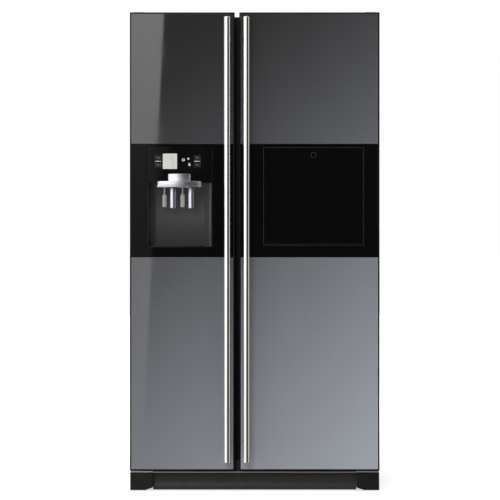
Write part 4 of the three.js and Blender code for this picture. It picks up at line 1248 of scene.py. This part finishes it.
class FRIDGE_OT_home_bar(bpy.types.Operator):
    """Makes the flap's glass front, its insulating pad, its seal and the mark of its latch"""

    bl_idname = "fridge.home_bar"
    bl_label = "Home bar"

    def execute(self, context):
        low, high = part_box("bar_door")
        face = low.y
        knuckle = 10 * MM
        thick = 20 * MM
        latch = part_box("bar_latch")
        outline = [(face, high.z), (face, low.z + knuckle)]
        outline += arc((face + knuckle, low.z + knuckle), knuckle, 180, 360, 16)
        outline += [(face + thick, high.z)]
        flap = pushed("bar_flap_front", outline, low.x, high.x, "X")
        well = pushed("bar_latch_well", self.well_outline(latch), face - 1 * MM, face + 9 * MM, "Y")
        carve = flap.modifiers.new("latch well", "BOOLEAN")
        carve.object = well
        carve.operation = "DIFFERENCE"
        carve.solver = "EXACT"
        self.applied(flap)
        bpy.data.objects.remove(well)
        bevelled(flap, 0.6 * MM, 2)
        dressed(flap, black_glass(), "bar_door", ["bar_door"])
        x = inset((low.x, high.x), 20 * MM)
        z = (low.z + 32 * MM, high.z - 22 * MM)
        rear = high.y
        pad = [
            ((x[0], face + thick - 1 * MM, z[0]), (x[1], face + thick + 6 * MM, z[1])),
            ((x[0] + 14 * MM, face + thick, z[0] + 14 * MM), (x[1] - 14 * MM, rear, z[1] - 14 * MM)),
        ]
        dressed(slabs("bar_flap_pad", pad, 3.5 * MM, 4), liner_white(), "bar_door")
        seal = [(0.5, 6.0), (7.5, 6.0), (7.5, 8.0), (6.0, 9.0), (7.5, 11.5), (7.0, 13.0), (1.0, 13.0), (0.5, 11.5), (2.0, 9.0)]
        profile = [(u * MM, face + thick + v * MM) for u, v in seal]
        ring = framed("bar_flap_seal", inset(x, 9 * MM), inset(z, 9 * MM), profile, 3 * MM, 3)
        dressed(ring, gasket_rubber(), "bar_door")
        band = [(-1.1 * MM, face - 0.04 * MM), (0.0, face - 0.04 * MM), (0.0, face + 1 * MM), (-1.1 * MM, face + 1 * MM)]
        edge = framed("bar_flap_edge_band", (low.x, high.x), (low.z + 1.2 * MM, high.z), band, 1.2 * MM, 3)
        dressed(edge, edge_dark(), "bar_door")
        top = latch[0].y
        line = [(-1.3 * MM, top - 0.04 * MM), (0.0, top - 0.04 * MM), (0.0, top + 0.5 * MM), (-1.3 * MM, top + 0.5 * MM)]
        x, z = (inset((latch[0][i], latch[1][i]), 2 * MM) for i in (0, 2))
        dressed(framed("bar_latch_outline", x, z, line, 3 * MM, 4), edge_dark(), "bar_latch")
        return {"FINISHED"}

    def well_outline(self, latch):
        """The latch's own outline, a little larger, with round corners."""
        play = 0.5 * MM
        soft = 2 * MM
        x = (latch[0].x - play, latch[1].x + play)
        z = (latch[0].z - play, latch[1].z + play)
        corners = [(x[1] - soft, z[0] + soft, -90), (x[1] - soft, z[1] - soft, 0)]
        corners += [(x[0] + soft, z[1] - soft, 90), (x[0] + soft, z[0] + soft, 180)]
        points = []
        for cx, cz, start in corners:
            points += arc((cx, cz), soft, start, start + 90, 4)
        return points

    def applied(self, piece):
        """Turns the piece's modifiers into mesh."""
        graph = bpy.context.evaluated_depsgraph_get()
        mesh = bpy.data.meshes.new_from_object(piece.evaluated_get(graph))
        piece.modifiers.clear()
        piece.data = mesh


# ------------------------------------------------------------------ plinth, feet, hinges


class FRIDGE_OT_plinth(bpy.types.Operator):
    """Makes the smooth cove of the plinth between the corner covers"""

    bl_idname = "fridge.plinth"
    bl_label = "Plinth"

    def execute(self, context):
        low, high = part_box("base_grille")
        front, rear = low.y, high.y
        low.z -= 5 * MM
        lip, cove, foot, thick = 6 * MM, 40 * MM, 8 * MM, 3 * MM
        mid = (low.z + high.z - lip) / 2

        def bend(start, control, end, steps=20):
            points = []
            for i in range(steps + 1):
                t = i / steps
                a, b, c = (1 - t) ** 2, 2 * t * (1 - t), t * t
                points.append(tuple(a * s + b * m + c * e for s, m, e in zip(start, control, end)))
            return points

        soft = 1.2 * MM
        outline = [(front + soft, high.z), (front + 0.35 * soft, high.z - 0.35 * soft), (front, high.z - soft)]
        outline += bend((front, high.z - lip), (front + cove, mid), (front + foot, low.z))
        outline += [(front + foot + thick, low.z)]
        outline += bend((front + foot + thick, low.z), (front + cove + thick, mid), (front + 2 * thick, high.z - thick))[1:]
        outline += [(rear, high.z - thick), (rear, high.z)]
        plinth = pushed("plinth_cove", outline, low.x, high.x, "X")
        dressed(plinth, plinth_plastic(), "cabinet", ["base_grille"])
        # A lighter strip along the plinth's top edge: a painted highlight where it catches the light.
        line = [((low.x + 0.5 * MM, front - 0.3 * MM, high.z - 5.4 * MM), (high.x - 0.5 * MM, front + 1 * MM, high.z - 0.8 * MM))]
        dressed(slabs("plinth_lip_painted_highlight", line, 0.5 * MM, 2), painted_highlight_grey(), "cabinet")
        return {"FINISHED"}


class FRIDGE_OT_feet(bpy.types.Operator):
    """Makes the levelling feet and the rear rollers"""

    bl_idname = "fridge.feet"
    bl_label = "Feet and rollers"

    def execute(self, context):
        for side in ("left", "right"):
            low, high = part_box(f"{side}_foot")
            x, y = (low.x + high.x) / 2, (low.y + high.y) / 2
            pad = 20 * MM
            profile = [(0, 0), (pad - 1.5 * MM, 0), (pad, 1.5 * MM), (pad, 8 * MM), (pad - 4 * MM, 11.5 * MM)]
            profile += [(9 * MM, 12 * MM), (9 * MM, 15 * MM), (6 * MM, 15.5 * MM)]
            turns = 26
            start, end = 16 * MM, high.z
            for i in range(turns):
                z = start + (end - start) * i / turns
                profile += [(5.4 * MM, z), (6.0 * MM, z + 0.5 * (end - start) / turns)]
            profile += [(5.0 * MM, end), (0, end)]
            foot = turned(f"{side}_foot_screw", [(profile, (x, y, 0))], sides=32)
            dressed(foot, plinth_plastic(), f"{side}_foot", [f"{side}_foot"])
            low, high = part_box(f"{side}_roller")
            axis = ((low.x + high.x) / 2, (low.y + high.y) / 2, (low.z + high.z) / 2)
            r = (high.z - low.z) / 2
            half = (high.x - low.x) / 2
            tread = 10 * MM
            wheel = [(0, -half), (3.4 * MM, -half), (4 * MM, -half + 0.6 * MM), (4 * MM, -tread - 0.2 * MM)]
            wheel += [(7 * MM, -tread), (8 * MM, -tread + 3 * MM), (r - 4 * MM, -tread + 3 * MM), (r - 3 * MM, -tread)]
            wheel += [(r - 1.2 * MM, -tread), (r, -tread + 1.2 * MM)]
            full = wheel + [(a, -b) for a, b in reversed(wheel)]
            roller = turned(f"{side}_roller_wheel", [(full, axis)], "X", 48)
            dressed(roller, black_trim(), f"{side}_roller", [f"{side}_roller"])
        return {"FINISHED"}


class FRIDGE_OT_fasteners(bpy.types.Operator):
    """Makes the screws of the hinges, of the hinge covers and of the rear cover"""

    bl_idname = "fridge.fasteners"
    bl_label = "Fasteners"

    def execute(self, context):
        for side in ("left", "right"):
            low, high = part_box(f"{side}_hinge_cover")
            mid = (low.x + high.x) / 2
            place = [(mid, high.y - 34 * MM, high.z - 1.6 * MM)]
            dressed(screws(f"{side}_hinge_cover_screw", place, "Z"), black_trim(), "cabinet")
            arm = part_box(f"{side}_upper_hinge")
            heads = [(mid, arm[1].y - 14 * MM, arm[0].z + 15.3 * MM), (mid, arm[1].y - 40 * MM, arm[0].z + 15.3 * MM)]
            dressed(screws(f"{side}_upper_hinge_screws", heads, "Z"), zinc_steel(), "cabinet")
        low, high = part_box("machine_cover")
        places = []
        for z in (low.z + 9 * MM, high.z - 9 * MM):
            for share in (0.03, 0.27, 0.5, 0.73, 0.97):
                places.append((low.x + share * (high.x - low.x), high.y, z))
        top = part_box("cabinet")[1]
        for z in (high.z + 40 * MM, (high.z + top.z) / 2, top.z - 30 * MM):
            for side in (-1, 1):
                places.append((side * (top.x - 22 * MM), high.y, z))
        flush = 0.03 * MM
        radius = detail_of().screw_head / 2
        head = [(0, -1 * MM), (radius, -1 * MM), (radius, 0), (radius - 0.2 * MM, flush), (0, flush)]
        heads = turned("rear_screws", [(head, place) for place in places], "Y", 24)
        dressed(heads, silver_trim(), "cabinet")
        # Black crosses on the heads stand for the slots: painted shade.
        slot_shades = []
        for x, y, z in places:
            slot_shades.append(((x - 2.4 * MM, y - 1 * MM, z - 0.5 * MM), (x + 2.4 * MM, y + 1.3 * flush, z + 0.5 * MM)))
            slot_shades.append(((x - 0.5 * MM, y - 1 * MM, z - 2.4 * MM), (x + 0.5 * MM, y + 1.3 * flush, z + 2.4 * MM)))
        dressed(slabs("rear_screw_slot_shade", slot_shades, 0.0), black_trim(), "cabinet")
        return {"FINISHED"}


# ---------------------------------------------------------------------------- interior


def vent_plate(name, x, z, wall_y, rows, body="cabinet"):
    """A flat air outlet on a rear wall: a frame round a row of slanted blades, before a dark back plate of painted
    shade.
    """
    proud = 7 * MM
    border = 7 * MM
    boxes = [
        ((x[0], wall_y - proud, z[0]), (x[1], wall_y, z[0] + border)),
        ((x[0], wall_y - proud, z[1] - border), (x[1], wall_y, z[1])),
        ((x[0], wall_y - proud, z[0]), (x[0] + border, wall_y, z[1])),
        ((x[1] - border, wall_y - proud, z[0]), (x[1], wall_y, z[1])),
    ]
    dressed(slabs(f"{name}_frame", boxes, 1.5 * MM), liner_white(), body)
    shape = bmesh.new()
    pitch = (z[1] - z[0] - 2 * border) / rows
    for i in range(rows):
        centre = z[0] + border + pitch * (i + 0.5)
        blade = bmesh.new()
        add_slab(blade, (x[0] + border, -3 * MM, -0.8 * MM), (x[1] - border, 3 * MM, 0.8 * MM), 0.5 * MM, 2)
        lean = Matrix.Translation((0, wall_y - 0.5 * proud, centre)) @ Matrix.Rotation(math.radians(-35), 4, "X")
        bmesh.ops.transform(blade, matrix=lean, verts=blade.verts)
        mesh = bpy.data.meshes.new("blade")
        blade.to_mesh(mesh)
        blade.free()
        shape.from_mesh(mesh)
        bpy.data.meshes.remove(mesh)
    dressed(from_bmesh(f"{name}_blades", shape), liner_white(), body)
    # The back plate is a dark sheet standing for the shade inside the opening: painted shade.
    back = [((x[0] + border, wall_y - 0.6 * MM, z[0] + border), (x[1] - border, wall_y - 0.1 * MM, z[1] - border))]
    dressed(slabs(f"{name}_back", back, 0.1 * MM, 1), outlet_painted_shade(), body)


def lamp(name, x, y, ceiling):
    """A ceiling lamp: a white rim round a ribbed lens."""
    half_x, half_y = 55 * MM, 32 * MM
    rim = [((x - half_x, y - half_y, ceiling - 6 * MM), (x + half_x, y + half_y, ceiling - 0.2 * MM))]
    dressed(slabs(f"{name}_rim", rim, 2.5 * MM, 4), liner_white(), "cabinet")
    ribs = []
    count = 9
    for i in range(count):
        left = x - half_x + 8 * MM + i * (2 * half_x - 16 * MM) / count
        right = left + (2 * half_x - 16 * MM) / count - 1 * MM
        ribs.append(((left, y - half_y + 8 * MM, ceiling - 9 * MM), (right, y + half_y - 8 * MM, ceiling - 4 * MM)))
    dressed(slabs(f"{name}_lens", ribs, 1.8 * MM, 3), lamp_lens(), "cabinet")


class FRIDGE_OT_rooms(bpy.types.Operator):
    """Makes what shows inside the two rooms: lamps, air outlets and shelf trims"""

    bl_idname = "fridge.rooms"
    bl_label = "Rooms"

    def execute(self, context):
        low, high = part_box("fridge_liner")
        thick = 3 * MM
        room_x = inset((low.x, high.x), thick)
        mid = sum(room_x) / 2
        wall_y = high.y - thick
        ceiling = high.z - thick
        lamp("fridge_lamp", mid, low.y + 150 * MM, ceiling)
        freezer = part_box("freezer_liner")
        freezer_x = inset((freezer[0].x, freezer[1].x), thick)
        lamp("freezer_lamp", sum(freezer_x) / 2, low.y + 110 * MM, ceiling)
        shelf_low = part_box("fridge_shelf_lower")
        shelf_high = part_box("fridge_shelf_upper")
        half = 90 * MM
        outlets = [
            ("fridge_outlet_lower", (shelf_low[0].z - 200 * MM, shelf_low[0].z - 60 * MM)),
            ("fridge_outlet_middle", (shelf_high[0].z - 190 * MM, shelf_high[0].z - 50 * MM)),
            ("fridge_outlet_upper", (ceiling - 170 * MM, ceiling - 40 * MM)),
        ]
        for name, z in outlets:
            vent_plate(name, (mid - half, mid + half), z, wall_y, 8)
        trim = detail_of().shelf_trim
        for name in ("fridge_shelf_upper", "fridge_shelf_lower", "freezer_shelf"):
            a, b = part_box(name)
            centre = (a.z + b.z) / 2
            front = [
                ((a.x, a.y - 3 * MM, centre - trim / 2), (b.x, a.y + 9 * MM, centre + trim / 2)),
            ]
            dressed(slabs(f"{name}_front_trim", front, 2.2 * MM, 4), liner_white(), "cabinet")
            line = [((a.x + 6 * MM, a.y - 3.6 * MM, centre - 2.2 * MM), (b.x - 6 * MM, a.y - 2.6 * MM, centre + 2.2 * MM))]
            dressed(slabs(f"{name}_front_line", line, 0.4 * MM, 2), silver_trim(), "cabinet")
            rear = [((a.x + 4 * MM, b.y - 14 * MM, b.z), (b.x - 4 * MM, b.y - 2 * MM, b.z + 9 * MM))]
            dressed(slabs(f"{name}_rear_stop", rear, 2 * MM), liner_white(), "cabinet")
        rails = []
        for name, walls in (("fridge_shelf_upper", room_x), ("fridge_shelf_lower", room_x), ("freezer_shelf", freezer_x)):
            a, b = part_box(name)
            for inner, outer in ((walls[0], walls[0] + 9 * MM), (walls[1], walls[1] - 9 * MM)):
                sides = sorted((inner, outer))
                rails.append(((sides[0], a.y + 30 * MM, a.z - 8.4 * MM), (sides[1], b.y - 20 * MM, a.z - 0.4 * MM)))
        dressed(slabs("shelf_rails", rails, 2.2 * MM), liner_white(), "cabinet")
        for name in ("freezer_drawer", "fridge_drawer"):
            a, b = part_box(name)
            x = sum((a.x, b.x)) / 2
            grip = [((x - 62 * MM, a.y + 8 * MM, b.z - 44 * MM), (x + 62 * MM, a.y + 10.6 * MM, b.z - 18 * MM))]
            dressed(slabs(f"{name}_grip", grip, 1.2 * MM, 3), liner_white(), name)
            line = [((a.x + 2 * MM, a.y - 0.5 * MM, b.z - 14.6 * MM), (b.x - 2 * MM, a.y + 2.5 * MM, b.z - 10.4 * MM))]
            dressed(slabs(f"{name}_lip_line", line, 0.8 * MM, 3), silver_trim(), name)
        return {"FINISHED"}


class FRIDGE_OT_ice_maker(bpy.types.Operator):
    """Makes the ice maker's front, its feeler arm and the drive of the bucket"""

    bl_idname = "fridge.ice_maker"
    bl_label = "Ice maker"

    def execute(self, context):
        low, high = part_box("ice_maker")
        x = (low.x + high.x) / 2
        face = low.y
        panel = [((low.x + 12 * MM, face - 1.2 * MM, low.z + 12 * MM), (high.x - 12 * MM, face + 1 * MM, high.z - 12 * MM))]
        dressed(slabs("ice_maker_front", panel, 1.0 * MM), liner_white(), "cabinet")
        key = [((x + 60 * MM, face - 3.0 * MM, high.z - 40 * MM), (x + 84 * MM, face + 1 * MM, high.z - 28 * MM))]
        dressed(slabs("ice_maker_switch", key, 1.2 * MM), satin_grey(), "cabinet")
        side = high.x - 6 * MM
        arm = [
            (side, face + 60 * MM, low.z + 30 * MM),
            (side + 3 * MM, face + 60 * MM, low.z + 10 * MM),
            (side + 3 * MM, face + 66 * MM, low.z - 20 * MM),
            (side - 20 * MM, face + 90 * MM, low.z - 30 * MM),
            (side - 60 * MM, face + 130 * MM, low.z - 30 * MM),
            (side - 60 * MM, face + 200 * MM, low.z - 24 * MM),
            (side - 60 * MM, face + 230 * MM, low.z + 20 * MM),
        ]
        dressed(pipe("ice_maker_feeler_arm", arm, 3 * MM), zinc_steel(), "cabinet")
        a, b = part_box("ice_bucket")
        z = a.z + 60 * MM
        coil = []
        turns, steps = 7, 16
        for i in range(turns * steps + 1):
            t = i / steps
            angle = 2 * math.pi * t
            coil.append((x + 34 * MM * math.cos(angle), a.y + 40 * MM + t * 44 * MM, z + 34 * MM * math.sin(angle)))
        dressed(pipe("ice_bucket_auger", coil, 5 * MM), zinc_steel(), "cabinet")
        rim = [
            ((a.x - 1 * MM, a.y - 1.5 * MM, b.z - 12 * MM), (b.x + 1 * MM, a.y + 3.6 * MM, b.z + 1 * MM)),
        ]
        dressed(slabs("ice_bucket_rim", rim, 1.2 * MM), liner_white(), "cabinet")
        return {"FINISHED"}


# ------------------------------------------------------------------------ machine room


class FRIDGE_OT_machine_room(bpy.types.Operator):
    """Makes the compressor's can, its terminal box and the pipes to the condenser"""

    bl_idname = "fridge.machine_room"
    bl_label = "Machine room"

    def execute(self, context):
        low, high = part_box("compressor")
        x, y = (low.x + high.x) / 2, (low.y + high.y) / 2
        base, top = low.z, high.z
        r = 78 * MM
        lift = 8 * MM
        profile = [(0, base + lift), (r - 18 * MM, base + lift), *arc((r - 14 * MM, base + lift + 14 * MM), 14 * MM, -90, 0, 6)]
        weld = base + 0.52 * (top - base)
        profile += [(r, weld - 3 * MM), (r + 0.8 * MM, weld), (r - 1.5 * MM, weld + 3 * MM)]
        dome = 40 * MM
        profile += arc((r - 1.5 * MM - dome, top - dome), dome, 0, 90, 10)
        profile += [(0, top)]
        can = turned("compressor_can", [(profile, (x, y, 0))], sides=64)
        dressed(can, compressor_paint(), "cabinet", ["compressor"])
        mount = [((low.x, y - 30 * MM, base), (high.x, y + 30 * MM, base + 3 * MM))]
        mount += [((low.x + 4 * MM, y - 70 * MM, base), (high.x - 4 * MM, y + 70 * MM, base + 2.6 * MM))]
        dressed(slabs("compressor_mount", mount, 0.8 * MM), zinc_steel(), "cabinet")
        box = [((x + r - 4 * MM, y - 28 * MM, base + 50 * MM), (x + r + 30 * MM, y + 28 * MM, base + 108 * MM))]
        dressed(slabs("compressor_terminal_box", box, 3 * MM), black_trim(), "cabinet")
        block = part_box("condenser")
        bore = detail_of().pipe
        out = [
            (x + 20 * MM, y + 62 * MM, base + 120 * MM),
            (x + 20 * MM, y + 92 * MM, base + 120 * MM),
            (x + 60 * MM, y + 96 * MM, base + 150 * MM),
            (x + 130 * MM, y + 96 * MM, base + 190 * MM),
            (block[0].x + 30 * MM, y + 92 * MM, base + 190 * MM),
            (block[0].x + 60 * MM, y + 60 * MM, base + 172 * MM),
            (block[0].x + 60 * MM, y + 50 * MM, base + 146 * MM),
        ]
        dressed(pipe("discharge_pipe", out, bore), copper(), "cabinet")
        back = [
            (x - 30 * MM, y + 60 * MM, base + 90 * MM),
            (x - 50 * MM, y + 96 * MM, base + 92 * MM),
            (x - 90 * MM, y + 98 * MM, base + 140 * MM),
            (x - 100 * MM, y + 92 * MM, base + 230 * MM),
            (x - 100 * MM, y + 40 * MM, base + 256 * MM),
        ]
        dressed(pipe("suction_pipe", back, bore), copper(), "cabinet")
        fins = []
        count = 40
        left = block[0].x + 44 * MM
        pitch = (block[1].x - left) / count
        for i in range(count):
            at = left + i * pitch
            fins.append(((at, block[0].y - 0.6 * MM, block[0].z + 1 * MM), (at + 0.4 * pitch, block[1].y + 0.6 * MM, block[1].z + 0.6 * MM)))
        dressed(slabs("condenser_fins", fins, 0.3 * MM, 1), condenser_metal(), "cabinet")
        return {"FINISHED"}


class FRIDGE_OT_mullion(bpy.types.Operator):
    """Makes the black cover of the upright between the doors"""

    bl_idname = "fridge.mullion"
    bl_label = "Mullion cover"

    def execute(self, context):
        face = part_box("cabinet")[0].y
        low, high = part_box("freezer_gasket")
        x = (high.x + 1 * MM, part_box("fridge_gasket")[0].x - 1 * MM)
        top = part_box("cabinet")[1].z + 3 * MM
        cover = [((x[0], face - 2.4 * MM, low.z + 6 * MM), (x[1], face - 0.2 * MM, top))]
        dressed(slabs("mullion_cover", cover, 0.9 * MM), black_trim(), "cabinet")
        return {"FINISHED"}


class FRIDGE_OT_rear(bpy.types.Operator):
    """Makes the seams of the rear sheet and the collar of the lead's hole"""

    bl_idname = "fridge.rear"
    bl_label = "Rear"

    def execute(self, context):
        low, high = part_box("machine_cover")
        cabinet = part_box("cabinet")
        rear = cabinet[1].y
        edge = 12 * MM
        seam = 1.4 * MM
        x = (cabinet[0].x + edge, cabinet[1].x - edge)
        z = (high.z + 14 * MM, cabinet[1].z - edge)
        lines = [
            ((x[0], rear - 1 * MM, z[0]), (x[0] + seam, rear + 0.03 * MM, z[1])),
            ((x[1] - seam, rear - 1 * MM, z[0]), (x[1], rear + 0.03 * MM, z[1])),
            ((x[0], rear - 1 * MM, z[1] - seam), (x[1], rear + 0.03 * MM, z[1])),
            ((x[0], rear - 1 * MM, z[0]), (x[1], rear + 0.03 * MM, z[0] + seam)),
        ]
        dressed(slabs("rear_sheet_seam", lines, 0.1 * MM, 1), black_trim(), "cabinet")
        collar_x, collar_z = low.x + 33 * MM, low.z + 22 * MM
        collar = [(5.6 * MM, -6 * MM), (10.9 * MM, -6 * MM), (10.9 * MM, -1 * MM), (9.6 * MM, -0.1 * MM), (6.4 * MM, -0.1 * MM)]
        collar += [(5.6 * MM, -1 * MM), (5.6 * MM, -6 * MM)]
        ring = turned("lead_collar", [(collar, (collar_x, rear, collar_z))], "Y", 32)
        dressed(ring, gasket_rubber(), "cabinet")
        return {"FINISHED"}


# -------------------------------------------------------------------------- the add-on

OPERATORS = (
    FRIDGE_OT_stage,
    FRIDGE_OT_frame_finishes,
    FRIDGE_OT_handles,
    FRIDGE_OT_gaskets,
    FRIDGE_OT_bins,
    FRIDGE_OT_dispenser,
    FRIDGE_OT_home_bar,
    FRIDGE_OT_plinth,
    FRIDGE_OT_feet,
    FRIDGE_OT_fasteners,
    FRIDGE_OT_rooms,
    FRIDGE_OT_ice_maker,
    FRIDGE_OT_machine_room,
    FRIDGE_OT_mullion,
    FRIDGE_OT_rear,
)
SETTINGS = {"fridge_finish": FinishSettings, "fridge_detail": DetailSettings, "fridge_stage": StageSettings}


class FRIDGE_PT_builder(bpy.types.Panel):
    """Lists the steps that build the refrigerator, and its settings"""

    bl_label = "Refrigerator"
    bl_idname = "FRIDGE_PT_builder"
    bl_space_type = "VIEW_3D"
    bl_region_type = "UI"
    bl_category = "Refrigerator"

    def draw(self, context):
        for operator in OPERATORS:
            self.layout.operator(operator.bl_idname)
        for group in SETTINGS:
            box = self.layout.box()
            settings = getattr(context.scene, group)
            for name in settings.bl_rna.properties.keys():
                if name not in ("rna_type", "name"):
                    box.prop(settings, name)


CLASSES = (*SETTINGS.values(), *OPERATORS, FRIDGE_PT_builder)


def register():
    for kind in CLASSES:
        bpy.utils.register_class(kind)
    for name, kind in SETTINGS.items():
        setattr(bpy.types.Scene, name, PointerProperty(type=kind))


def unregister():
    for name in SETTINGS:
        delattr(bpy.types.Scene, name)
    for kind in reversed(CLASSES):
        bpy.utils.unregister_class(kind)


def main():
    register()
    for operator in OPERATORS:
        family, step = operator.bl_idname.split(".")
        getattr(getattr(bpy.ops, family), step)()


if __name__ == "__main__":
    main()
